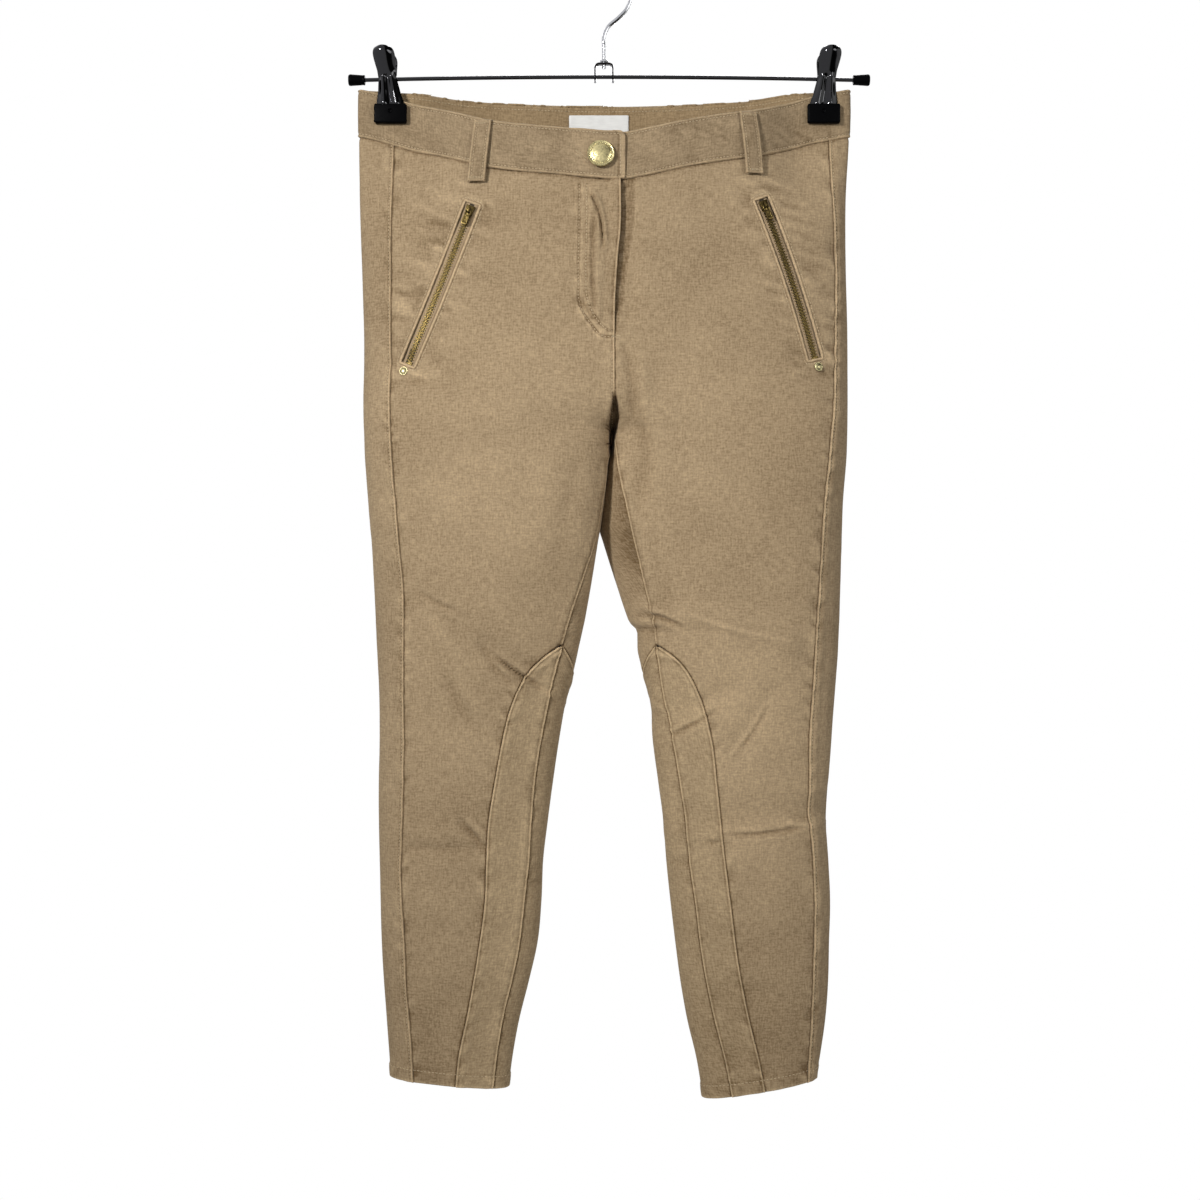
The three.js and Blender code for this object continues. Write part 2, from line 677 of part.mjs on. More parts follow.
/** Slider body with its arched bail: x down the zip, y across it, z off the cloth. */
function sliderGeometry() {
  const body = new THREE.ExtrudeGeometry(roundedRect(SLIDER.width, SLIDER.length, 1.8), {
    depth: SLIDER.thick,
    bevelEnabled: false,
    curveSegments: 4,
  });
  body.translate(0, 0, SLIDER.base);
  const outer = BAIL.opening / 2 + BAIL.wire;
  const roof = BAIL.height + BAIL.wire;
  const arch = new THREE.Shape();
  arch.moveTo(-outer, -0.4);
  arch.lineTo(-outer, roof - 0.8);
  arch.lineTo(-outer + 0.8, roof);
  arch.lineTo(outer - 0.8, roof);
  arch.lineTo(outer, roof - 0.8);
  arch.lineTo(outer, -0.4);
  arch.lineTo(BAIL.opening / 2, -0.4);
  arch.lineTo(BAIL.opening / 2, BAIL.height);
  arch.lineTo(-BAIL.opening / 2, BAIL.height);
  arch.lineTo(-BAIL.opening / 2, -0.4);
  const bail = new THREE.ExtrudeGeometry(arch, { depth: BAIL.width, bevelEnabled: false });
  bail.rotateX(Math.PI / 2);
  bail.translate(0, BAIL.width / 2, SLIDER.base + SLIDER.thick);
  return join(body, bail);
}

/** Pull tab lying flat, its cross bar on the origin and its tab down the zip along x. */
function pullGeometry() {
  const r = PULL.width / 2;
  const shape = new THREE.Shape();
  shape.moveTo(-PULL.bar / 2, -PULL.ring / 2);
  shape.lineTo(3, -PULL.ring / 2);
  shape.lineTo(5, -r);
  shape.lineTo(PULL.length - r, -r);
  shape.absarc(PULL.length - r, 0, r, -Math.PI / 2, Math.PI / 2, false);
  shape.lineTo(5, r);
  shape.lineTo(3, PULL.ring / 2);
  shape.lineTo(-PULL.bar / 2, PULL.ring / 2);
  const window = new THREE.Path();
  window.moveTo(PULL.bar / 2, -PULL.hole / 2);
  window.lineTo(3.6, -PULL.hole / 2);
  window.lineTo(3.6, PULL.hole / 2);
  window.lineTo(PULL.bar / 2, PULL.hole / 2);
  shape.holes.push(window);
  const plate = new THREE.ExtrudeGeometry(shape, { depth: PULL.thick, bevelEnabled: false, curveSegments: 10 });
  plate.translate(0, 0, -PULL.thick / 2);
  return plate;
}

/** Place and axes of a zip's slider on the cloth. */
function sliderFrame(side) {
  const station = zipStation(side, SLIDER.fromTop / zipStation(side, 0).length);
  const { p, normal } = frontPoint(station.at.x, station.at.y);
  const ahead = station.at.clone().addScaledVector(station.direction, 5);
  const down = frontPoint(ahead.x, ahead.y).p.sub(p);
  down.addScaledVector(normal, -down.dot(normal)).normalize();
  const across = new THREE.Vector3().crossVectors(normal, down);
  return new THREE.Matrix4().makeBasis(down, across, normal).setPosition(p);
}

const PULL_AXIS = SLIDER.base + SLIDER.thick + BAIL.height / 2; // height of the pull's bar over the cloth

function addZip(side) {
  const { length } = zipStation(side, 0);
  const spare = TAPE.overlap / length;
  const steps = 9;
  const tape = zipStrip(side, -spare, 1 + spare, TAPE.width, -TWILL - TAPE.clear, TAPE.thick, steps);
  add(`zip_tape_${side}`, tape, COLOURS.tape);
  const chainTop = (SLIDER.fromTop + SLIDER.length / 2 + GAP + 0.2) / length;
  const chain = zipStrip(side, chainTop, 1 - 2 / length, CHAIN.width, CHAIN.proud, CHAIN.thick, steps);
  add(`zip_chain_${side}`, chain, COLOURS.brass, BRASS);
  const frame = new THREE.Group();
  frame.applyMatrix4(sliderFrame(side));
  garment.add(frame);
  add(`zip_slider_${side}`, sliderGeometry(), COLOURS.brass, BRASS, frame);
  add(`zip_pull_${side}`, pullGeometry(), COLOURS.brass, BRASS, frame).position.z = PULL_AXIS;
}

// ---------------------------------------------------------------- waistband, loops, label

/** Rows of the band between two phi limits, with tight stops where it turns at the outer edge. */
function bandWall(side, phiLimits, steps, lift = () => 0) {
  const shares = [0, 0.14, 0.5, 0.86, 1];
  return shares.map((share) => {
    const level = lerp(WAIST_TOP, WAIST_SEAM + WAIST_PULL, share);
    return evenly(side, level, ...phiLimits(level, share), steps).map((phi) => {
      const point = bandPoint(side, level, phi);
      return { ...point, lift: lift(point.p.x) };
    });
  });
}

function bandPoint(side, level, phi) {
  const rough = ovalPoint(side, level, phi);
  const distance = SIDE_SIGN[side] * (rough.x - CENTRE_X);
  const onBack = Math.sin(phi) < 0;
  const dip = dipOf(side, Math.abs(distance) / section(side, level).outer, onBack);
  return pointAndNormal(side, level - dip, phi);
}

/** Front half of the band. The right end laps over the left one and has a rounded corner. */
function frontBand(side) {
  const limits = (level, share) => {
    const end = side === 'right' ? LAP.end - (share === 0 ? LAP.corner : 0) : LAP.under;
    const z = level - FRONT_DIP;
    const from = phiAt(side, z, SIDE_SIGN[side] * (end - CENTRE_X));
    const to = step(side, level, phiAt(side, level, column(SEAMS, `side${capital(side)}`, level)), -SEAM_PULL);
    return [from, to];
  };
  const rise = (x) => LAP.lift * smooth((x - LAP.liftFrom) / LAP.liftOver);
  const lift = side === 'right' ? rise : () => 0;
  return clothWall(bandWall(side, limits, 16, lift), BAND_PROUD, BAND_WALL);
}

/** Back of the band, from one side seam round both outer edges to the other. */
function backBand() {
  const half = (side, level) => {
    const seam = phiAt(side, level, column(SEAMS, `side${capital(side)}`, level));
    const from = step(side, level, seam, SEAM_PULL);
    const outer = outerStops();
    const centre = phiAt(side, level, 0, true);
    const jaw = jawStop(side, level);
    const stops = [from, lerp(from, outer[0], 0.5), ...outer, ...evenly(side, level, jaw, centre, 10)];
    return stops.map((phi) => bandPoint(side, level, phi));
  };
  const shares = [0, 0.5, 1];
  const rows = shares.map((share) => {
    const level = lerp(WAIST_TOP, WAIST_SEAM + WAIST_PULL, share);
    return [...half('right', level), ...half('left', level).reverse().slice(1)];
  });
  return clothWall(rows, BAND_PROUD, BAND_WALL);
}

/** Belt loop: a strip down the band, held off it in the middle. */
function loopGeometry(pointAt, xTop, xBottom, zTop, zBottom, clear) {
  const steps = 7;
  const rows = [];
  for (let i = 0; i <= steps; i += 1) {
    const t = i / steps;
    const x = lerp(xTop, xBottom, t);
    const z = lerp(zTop, zBottom, t);
    const lift = LOOP.lift * Math.sin(Math.PI * t);
    rows.push([-0.5, 0, 0.5].map((share) => ({ ...pointAt(x + share * LOOP.width, z), lift })));
  }
  return clothWall(rows, BAND_PROUD + clear + LOOP.thick, LOOP.thick);
}

function dipAt(x, onBack) {
  const side = x < CENTRE_X ? 'right' : 'left';
  const share = Math.abs(x - CENTRE_X) / section(side, WAIST_SEAM).outer;
  return dipOf(side, share, onBack);
}

function addLoops() {
  for (const side of ['right', 'left']) {
    const [xTop, xBottom] = FRONT_LOOPS[side];
    const top = WAIST_TOP - dipAt(xTop, false) + LOOP_ENDS.front.over;
    const bottom = WAIST_SEAM - dipAt(xBottom, false) - LOOP_ENDS.front.under;
    const strip = loopGeometry(frontPoint, xTop, xBottom, top, bottom, LOOP.clear);
    add(`belt_loop_front_${side}`, strip, COLOURS.twill);
  }
  for (const [place, x] of Object.entries(BACK_LOOPS)) {
    const top = WAIST_TOP - dipAt(x, true) + LOOP_ENDS.back.over;
    const bottom = WAIST_SEAM - dipAt(x, true) - LOOP_ENDS.back.under;
    const name = place === 'centre' ? 'belt_loop_centre_back' : `belt_loop_back_${place}`;
    add(name, loopGeometry(backPoint, x, x, top, bottom, LOOP.clearBack), COLOURS.twill);
  }
}

/** Blank satin label inside the back of the band. */
function labelGeometry() {
  const rows = [0, 0.5, 1].map((t) => {
    const z = LABEL.top - LABEL.height * t;
    return [0, 0.25, 0.5, 0.75, 1].map((s) => backPoint(lerp(LABEL.left, LABEL.right, s), z));
  });
  return clothWall(rows, BAND_PROUD - BAND_WALL - GAP, LABEL.thick);
}

/** Turned dome facing the viewer, its back on y = 0. */
function dome(profile, segments) {
  const points = profile.map(([radius, height]) => new THREE.Vector2(radius, height));
  const geometry = new THREE.LatheGeometry(points, segments);
  geometry.rotateX(Math.PI / 2); // the turning axis, +Y, becomes +Z
  geometry.rotateX(Math.PI / 2); // and then -Y, towards the viewer
  return geometry;
}

function placeOnCloth(mesh, x, z, proud) {
  const { p, normal } = frontPoint(x, z);
  mesh.position.copy(p).addScaledVector(normal, proud);
  mesh.quaternion.setFromUnitVectors(new THREE.Vector3(0, -1, 0), normal);
}

function addButtonAndRivets() {
  const { radius: r, height: h } = BUTTON;
  const profile = [
    [0, 0],
    [r * 0.86, 0],
    [r, 0.9],
    [r, 2.0],
    [r * 0.93, 2.5],
    [r * 0.86, 2.3],
    [r * 0.6, h * 0.86],
    [r * 0.3, h * 0.97],
    [0, h],
  ];
  const button = add('fly_button', dome(profile, 28), COLOURS.brass, BRASS);
  placeOnCloth(button, BUTTON.x, BUTTON.z, BAND_PROUD + LAP.lift + GAP + BUTTON.off);
  for (const side of ['right', 'left']) {
    const { radius, height } = RIVET;
    const shape = [
      [0, 0],
      [radius, 0],
      [radius, 0.5],
      [radius * 0.6, height * 0.85],
      [0, height],
    ];
    const rivet = add(`pocket_rivet_${side}`, dome(shape, 16), COLOURS.brass, BRASS);
    placeOnCloth(rivet, ...RIVET[side], RIVET.off);
  }
}

// ---------------------------------------------------------------- hanger

function circle(radius, sides) {
  const shape = new THREE.Shape();
  for (let i = 0; i < sides; i += 1) {
    const a = (2 * Math.PI * i) / sides;
    if (i === 0) shape.moveTo(radius, 0);
    else shape.lineTo(radius * Math.cos(a), radius * Math.sin(a));
  }
  shape.closePath();
  return shape;
}

function wire(points, radius, steps, sides) {
  const path = new THREE.CatmullRomCurve3(points, false, 'centripetal');
  return new THREE.ExtrudeGeometry(circle(radius, sides), { steps, extrudePath: path, bevelEnabled: false });
}

function rodZ(x) {
  const half = (ROD.right - ROD.left) / 2;
  const share = (x - (ROD.left + ROD.right) / 2) / half;
  return ROD.centreZ - ROD.sag * share * share;
}

function addRod() {
  const count = 9;
  const points = [];
  for (let i = 0; i < count; i += 1) {
    const x = lerp(ROD.left, ROD.right, i / (count - 1));
    points.push(new THREE.Vector3(x, 0, rodZ(x)));
  }
  add('hanger_rod', wire(points, ROD.radius, 16, 10), COLOURS.blackSteel, STEEL);
  const profile = [
    [0, CAP.depth],
    [CAP.bore, CAP.depth],
    [CAP.bore, 0],
    [CAP.inner, 0],
    [CAP.outer, CAP.length * 0.85],
    [CAP.outer - 0.8, CAP.length],
    [0, CAP.length],
  ];
  for (const side of ['right', 'left']) {
    const end = side === 'right' ? ROD.left : ROD.right;
    const points2 = profile.map(([radius, height]) => new THREE.Vector2(radius, height));
    const geometry = new THREE.LatheGeometry(points2, 16);
    geometry.rotateZ(side === 'right' ? Math.PI / 2 : -Math.PI / 2);
    const cap = add(`rod_cap_${side}`, geometry, COLOURS.rubber);
    const inset = CAP.depth - 1;
    cap.position.set(end - SIDE_SIGN[side] * inset, 0, rodZ(end - SIDE_SIGN[side] * inset * 0.5));
  }
}

function addHook() {
  const { x, wire: radius, arcRadius, stemBottom } = HOOK;
  const centreZ = radius - arcRadius; // the inside of the top is the origin
  const points = [
    [x, stemBottom],
    [x, -80],
    [x, -70.5],
    [x + 3.6, -62],
    [x + 12, -54.5],
    [x + 19.4, -46.5],
  ];
  for (let a = HOOK.arcFrom; a <= HOOK.arcTo; a += HOOK.arcStep) {
    const angle = THREE.MathUtils.degToRad(a);
    points.push([x + arcRadius * Math.cos(angle), centreZ + arcRadius * Math.sin(angle)]);
  }
  const path = points.map(([px, pz]) => new THREE.Vector3(px, 0, pz));
  add('hook', wire(path, radius, 54, 10), COLOURS.chrome, CHROME);
}

/** Wire bracket: a bar over the rod with a leg hooked down round the rod at each end. */
function addBracket() {
  const { half, top, bottom, wire: w, corner, depth } = BRACKET;
  const { x } = HOOK;
  const frame = new THREE.Shape();
  frame.moveTo(-half - w, bottom);
  frame.lineTo(-half - w, top - corner);
  frame.absarc(-half - w + corner, top - corner, corner, Math.PI, Math.PI / 2, true);
  frame.lineTo(half + w - corner, top);
  frame.absarc(half + w - corner, top - corner, corner, Math.PI / 2, 0, true);
  frame.lineTo(half + w, bottom);
  frame.lineTo(half - w, bottom);
  frame.lineTo(half - w, top - 2 * w);
  frame.lineTo(-half + w, top - 2 * w);
  frame.lineTo(-half + w, bottom);
  let body = new THREE.ExtrudeGeometry(frame, { depth, bevelEnabled: false, curveSegments: 4 });
  body.rotateX(Math.PI / 2);
  body.translate(x, depth / 2, 0);
  const rodHole = new THREE.CylinderGeometry(ROD.radius + GAP, ROD.radius + GAP, 4 * half, 12);
  rodHole.rotateZ(Math.PI / 2);
  rodHole.translate(x, 0, rodZ(x));
  const stemHole = new THREE.CylinderGeometry(HOOK.wire + GAP, HOOK.wire + GAP, 8, 12);
  stemHole.rotateX(Math.PI / 2);
  stemHole.translate(x, 0, top);
  body = cut(cut(body, rodHole), stemHole);
  add('hook_bracket', body, COLOURS.chrome, CHROME);
  const profile = [
    [HOOK.wire + GAP, 0],
    [COLLAR.radius + 0.6, 0],
    [COLLAR.radius + 0.9, 1],
    [COLLAR.radius + 0.4, COLLAR.height],
    [HOOK.wire + GAP, COLLAR.height],
    [HOOK.wire + GAP, 0],
  ].map(([radius, height]) => new THREE.Vector2(radius, height));
  const collar = new THREE.LatheGeometry(profile, 14);
  collar.rotateX(Math.PI / 2);
  const mesh = add('hook_collar', collar, COLOURS.chrome, CHROME);
  mesh.position.set(x, 0, top + GAP);
}

/** One lever of a clip, seen from the front: a teardrop above the rod that widens to the jaw. */
function leverOutline() {
  const shape = new THREE.Shape();
  const { leverTop, padTop, footHalf: foot, footDepth } = CLIP;
  const head = 8.4;
  const waist = 7.6;
  const headZ = leverTop - head;
  shape.moveTo(-foot, padTop - footDepth);
  shape.lineTo(-foot, padTop);
  shape.lineTo(-waist - 1.6, padTop + 12);
  shape.lineTo(-waist, padTop + 24);
  shape.lineTo(-head, headZ);
  shape.absarc(0, headZ, head, Math.PI, 0, true);
  shape.lineTo(waist, padTop + 24);
  shape.lineTo(waist + 1.6, padTop + 12);
  shape.lineTo(foot, padTop);
  shape.lineTo(foot, padTop - footDepth);
  return shape;
}

/** Lever bent in side view: it stands off at the top, comes in over the rod and holds the jaw. */
function leverGeometry(facing) {
  const { padTop, padWall, footDepth, leverTop, wall: thick, grip } = CLIP;
  const jaw = grip + BAND_PROUD + padWall; // face of the lever next to the pad
  const profile = [
    [padTop - footDepth, jaw],
    [padTop + 12, jaw - 0.6],
    [padTop + 24, jaw - 2.6],
    [leverTop - 4, jaw + 6],
    [leverTop + 1, jaw + 6.6],
  ];
  const side = new THREE.Shape();
  profile.forEach(([z, y], i) => (i === 0 ? side.moveTo(y, z) : side.lineTo(y, z)));
  [...profile].reverse().forEach(([z, y]) => side.lineTo(y + thick, z));
  const bent = new THREE.ExtrudeGeometry(side, { depth: 40, bevelEnabled: false });
  bent.applyMatrix4(
    new THREE.Matrix4().makeBasis(
      new THREE.Vector3(0, facing, 0),
      new THREE.Vector3(0, 0, 1),
      new THREE.Vector3(facing, 0, 0),
    ),
  );
  bent.translate(-20 * facing, 0, 0);
  const front = new THREE.ExtrudeGeometry(leverOutline(), { depth: 60, bevelEnabled: false, curveSegments: 8 });
  front.rotateX(Math.PI / 2);
  front.translate(0, 30, 0);
  return fromSolid(toSolid(bent).intersect(toSolid(front)));
}

/** Rubber jaw sleeve: a block with softened edges round the foot of the lever. */
function padGeometry(facing) {
  const { grip, padTop, padBottom, padWidth, padWall, padCover, footHalf, footDepth, wall: thick } = CLIP;
  const near = grip + BAND_PROUD + GAP;
  const far = near + padWall + thick + padCover;
  const height = padTop - padBottom;
  const bevel = 0.8;
  const depth = far - near - 2 * bevel;
  const block = new THREE.ExtrudeGeometry(roundedRect(height - 2 * bevel, padWidth - 2 * bevel, 2), {
    depth,
    bevelEnabled: true,
    bevelThickness: bevel,
    bevelSize: bevel,
    bevelSegments: 1,
    curveSegments: 3,
  });
  block.rotateX(Math.PI / 2);
  block.translate(0, (far + near + depth) / 2, (padTop + padBottom) / 2);
  if (facing < 0) block.translate(0, -(far + near), 0);
  const slot = new THREE.BoxGeometry(2 * (footHalf + GAP), thick + 2 * GAP, height);
  const centre = grip + BAND_PROUD + padWall + thick / 2;
  slot.translate(0, facing * centre, padTop - footDepth - GAP + height / 2);
  return cut(block, slot);
}

function addClips() {
  for (const side of ['right', 'left']) {
    const frame = new THREE.Group();
    frame.position.x = CLIPS[side];
    garment.add(frame);
    for (const [place, facing] of [['front', -1], ['back', 1]]) {
      add(`clip_${place}_${side}`, leverGeometry(facing), COLOURS.blackSteel, STEEL, frame);
      add(`clip_pad_${place}_${side}`, padGeometry(facing), COLOURS.rubber, {}, frame);
    }
    const coil = new THREE.LatheGeometry(
      [
        [ROD.radius + GAP, -4],
        [3.2, -4],
        [3.2, 4],
        [ROD.radius + GAP, 4],
        [ROD.radius + GAP, -4],
      ].map(([radius, height]) => new THREE.Vector2(radius, height)),
      14,
    );
    coil.rotateZ(Math.PI / 2);
    add(`clip_spring_${side}`, coil, COLOURS.chrome, STEEL, frame).position.z = rodZ(CLIPS[side]);
  }
}

// ---------------------------------------------------------------- the object

for (const side of ['right', 'left']) {
  add(`front_${side}`, cut(panel(side, 'front'), zipSlot(side)), COLOURS.twill);
  add(`front_inset_${side}`, panel(side, 'inset'), COLOURS.twillDark);
  add(`back_${side}`, panel(side, 'back'), COLOURS.twill);
  add(`back_inset_${side}`, panel(side, 'backInset'), COLOURS.twillDark);
  add(`waistband_front_${side}`, frontBand(side), COLOURS.twill);
  addZip(side);
}
add('waistband_back', backBand(), COLOURS.twill);
addLoops();
add('waist_label', labelGeometry(), COLOURS.satin, { roughness: 0.5 });
addButtonAndRivets();
addRod();
addHook();
addBracket();
addClips();

export default garment;
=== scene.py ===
"""Cropped skinny jeans in washed twill, clipped by the waistband to a metal hanger.

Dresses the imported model. Lengths in the tables are millimetres in the model's own frame: +X is the
viewer's right and the wearer's left, the front faces -Y, +Z is up, and the origin is the inside of the
top of the hook. Meshes are made in metres.
"""

import math

import bmesh
import bpy
import numpy as np
from bpy.props import FloatProperty, FloatVectorProperty, PointerProperty
from mathutils import Matrix, Vector
from mathutils.bvhtree import BVHTree


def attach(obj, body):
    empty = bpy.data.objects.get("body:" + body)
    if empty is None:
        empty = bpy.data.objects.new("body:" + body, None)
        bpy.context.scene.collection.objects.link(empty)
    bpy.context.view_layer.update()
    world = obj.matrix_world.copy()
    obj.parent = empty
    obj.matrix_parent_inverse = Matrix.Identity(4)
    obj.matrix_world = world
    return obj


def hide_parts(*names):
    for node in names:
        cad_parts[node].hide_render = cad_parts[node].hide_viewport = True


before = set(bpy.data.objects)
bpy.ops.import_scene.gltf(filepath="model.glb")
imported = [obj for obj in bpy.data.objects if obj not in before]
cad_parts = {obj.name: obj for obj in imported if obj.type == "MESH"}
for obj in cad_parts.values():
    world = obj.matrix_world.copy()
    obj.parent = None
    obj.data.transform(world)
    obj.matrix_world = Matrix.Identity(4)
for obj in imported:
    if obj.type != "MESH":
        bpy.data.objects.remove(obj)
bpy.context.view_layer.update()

bl_info = {
    "name": "Jeans on a clip hanger",
    "version": (1, 0, 0),
    "blender": (4, 5, 0),
    "location": "View3D > Sidebar > Jeans",
    "description": "Makes the cloth, stitching, zips and hanger of a pair of cropped jeans",
    "category": "Add Mesh",
}

MM = 0.001


# ---------------------------------------------------------------- the garment's form, in millimetres

CENTRE_X = 7.0  # the rise seam
SIDES = ("right", "left")
SIGN = {"right": -1.0, "left": 1.0}

WAIST_TOP = -115.6
BAND_HEIGHT = 40.8
WAIST_SEAM = WAIST_TOP - BAND_HEIGHT
FRONT_DIP = 44.0
BACK_DIP = 7.0
BACK_DIP_POWER = 1.5
DIP_REACH = 190.0
CROTCH = -404.0
HEM = {"right": -953.0, "left": -955.0}
HEM_SLOPE = {"right": 9.0, "left": 16.0}
HEM_REACH = 130.0
INSET_TOP = -587.0

BAND_PROUD = 0.6
BAND_WALL = 2.2
LAP = {"end": 17.0, "under": -6.0, "lift": 3.4, "lift_from": -32.0, "lift_over": 22.0, "round": 6.0}

CLIP_X = {"right": -181.5, "left": 185.0}
JAW_HALF = 16.0
GRIP = 3.8
PINCH = {"outward": 60.0, "inward": 30.0, "level": -152.0, "down": 85.0, "squareness": 90}


def table(text):
    """Columns by name, from a heading and rows of numbers."""
    names, *rows = text.strip().splitlines()
    return dict(zip(names.split(), np.array([row.split() for row in rows], float).T))


# Edges from the centre line, share that runs past it, half depths, squareness, lean of the inner edges.
SECTIONS = table("""
z out_right out_left past in_right in_left front back power tip_right tip_left
-105 216 201 1 0 0 25 25 2.2 0 0
-155 216 200.5 1 0 0 32 29 2.2 0 0
-209 215.3 197.4 1 0 0 38 40 2.3 0 0
-260 213.6 197.2 1 0 0 42 50 2.35 0 0
-320 211.6 198.6 0.88 0 0 44 56 2.4 0 0
-352 211.5 198.8 0.66 0 0 45 56 2.4 0 0
-375 211.8 198.7 0.36 0 0 46 55 2.6 0 0
-390 211.5 198.2 0.13 0 0 46 54 2.9 0 0
-400 211.2 197.8 0.03 0 0 46 54 3.1 0 0
-408 210.8 197.6 0 1.5 -2 46 54 3.1 -3 3
-430 210 197 0 3.6 -6.5 46 53 3 -7 7
-464 207.6 194.5 0 7.5 -11 44 51 2.8 -10 10
-488 206 193.8 0 10.8 -12 43 49 2.6 -10 10
-498 205 193.6 0 12.6 -9.2 42 48 2.5 -10 10
-532 203.4 192.8 0 18 1.5 40 45 2.3 -8 8
-566 201.7 191.9 0 24 12.8 38 42 2.3 -5 5
-570 201.6 191.7 0 24.9 15.4 37.7 41.6 2.3 -5 5
-574.5 201.3 191.5 0 25.9 19.9 37.5 41.2 2.3 -5 5
-583 200.9 191.1 0 27.8 20.6 37 40.5 2.3 -4 4
-592 200.4 190.7 0 29.8 20.8 36.5 39.8 2.3 -4 4
-600 200 190.2 0 31.5 22.5 36 39 2.3 -3 3
-634 198.3 187.6 0 40 31 34 37 2.3 -2 2
-668 198.3 185.1 0 46 33.5 32 35 2.3 0 0
-702 199.1 182.6 0 51 38 31 33 2.3 0 0
-736 199.1 180.9 0 55.5 42.5 30 32 2.3 0 0
-770 198.3 182.6 0 59.5 45 29 31 2.3 0 0
-804 197.4 184.2 0 61 48.5 28 30 2.3 0 0
-838 196.5 183.4 0 64 52.5 26 28 2.3 0 0
-872 194.8 182.6 0 71.5 57 24 26 2.3 0 0
-906 192.3 180 0 80 63 22 24 2.3 0 0
-940 189.7 175 0 86 71 20 22 2.3 0 0
-980 187 168 0 91 77 19 20 2.3 0 0
""")

# Seam lines on the front, from the centre line.
SEAMS = table("""
z side_right side_left inseam_right inseam_left fly
-150 186 183 0 0 5.6
-200 186 184 0 0 5.6
-246 186 185.5 0 0 2.8
-300 186 186 0 0 0.8
-379 186 184 0 0 0.4
-404 185 181.5 0 0 0
-430 184 179 5 3 0
-464 182 176 9.5 10 0
-498 179 174 16 17 0
-532 176 172 26 25 0
-566 175 170 37 33 0
-600 175 168 46 37.5 0
-634 175 166 54 43 0
-668 175 164 61 50 0
-702 176 164 66 56 0
-736 177 165 69 61 0
-770 178 168 71 64 0
-804 177 169 75 69 0
-838 175 169 79 73 0
-872 174 168 86 79 0
-906 171 167 94 87 0
-940 169 165 99 96 0
-980 167 162 104 104 0
""")

# Inner-leg insets: the curved front seam from the centre line, and the back inset's width round the leg.
INSETS = table("""
z right left around
-587 43.8 36.4 0
-599 60 53 12
-615 74 65 27
-641 86 75.5 42
-670 93 82.5 50
-700 98.5 86 55
-735 104 89.5 58
-770 106 93.5 60
-805 107.5 98 60
-850 114 104 59
-893 122 113 57
-930 130 122.5 54
-980 134 132 50
""")

# Share of the front's dip that is left at each share of the way out, which is given as its negative.
WAIST_CURVE = table("""
z right left
0 1 1
-0.06 0.99 0.985
-0.18 0.91 0.875
-0.32 0.85 0.73
-0.42 0.795 0.65
-0.5 0.725 0.59
-0.6 0.58 0.505
-0.7 0.415 0.36
-0.82 0.24 0.17
-0.93 0.075 0.065
-1 0 0
""")

# The largest folds, as in the solids: face, side, x and z of both ends, width and height.
FOLDS = [
    ("front", "left", 60, -559, 155, -585, 9, 2.2),
    ("front", "left", 46, -655, 100, -625, 10, -2.5),
    ("front", "left", 112, -668, 138, -628, 9, -2.2),
    ("front", "left", 98, -732, 182, -724, 14, -3.4),
    ("front", "left", 60, -744, 90, -746, 8, 1.8),
    ("front", "right", -98, -590, -52, -620, 10, -2.4),
    ("front", "right", -118, -737, -104, -752, 9, -1.8),
    ("front", "right", -178, -350, -145, -362, 12, -2.2),
    ("front", "right", -170, -470, -120, -520, 16, -2),
    ("front", "left", 20, -420, 70, -500, 18, -2.4),
    ("front", "left", 17, -210, 19, -310, 8, -2.6),
    ("front", "right", -7, -200, -6, -315, 7, 1.6),
    ("back", "right", -60, -395, -150, -440, 14, -3),
    ("back", "right", -60, -430, -130, -490, 14, -2.6),
    ("back", "left", 70, -392, 160, -435, 14, -3),
    ("back", "left", 70, -428, 140, -492, 14, -2.6),
    ("back", "right", -60, -628, -160, -640, 12, -3),
    ("back", "right", -70, -668, -170, -655, 12, -2.4),
    ("back", "left", 55, -640, 150, -622, 12, -3),
    ("back", "left", 70, -700, 165, -712, 12, -2.4),
]

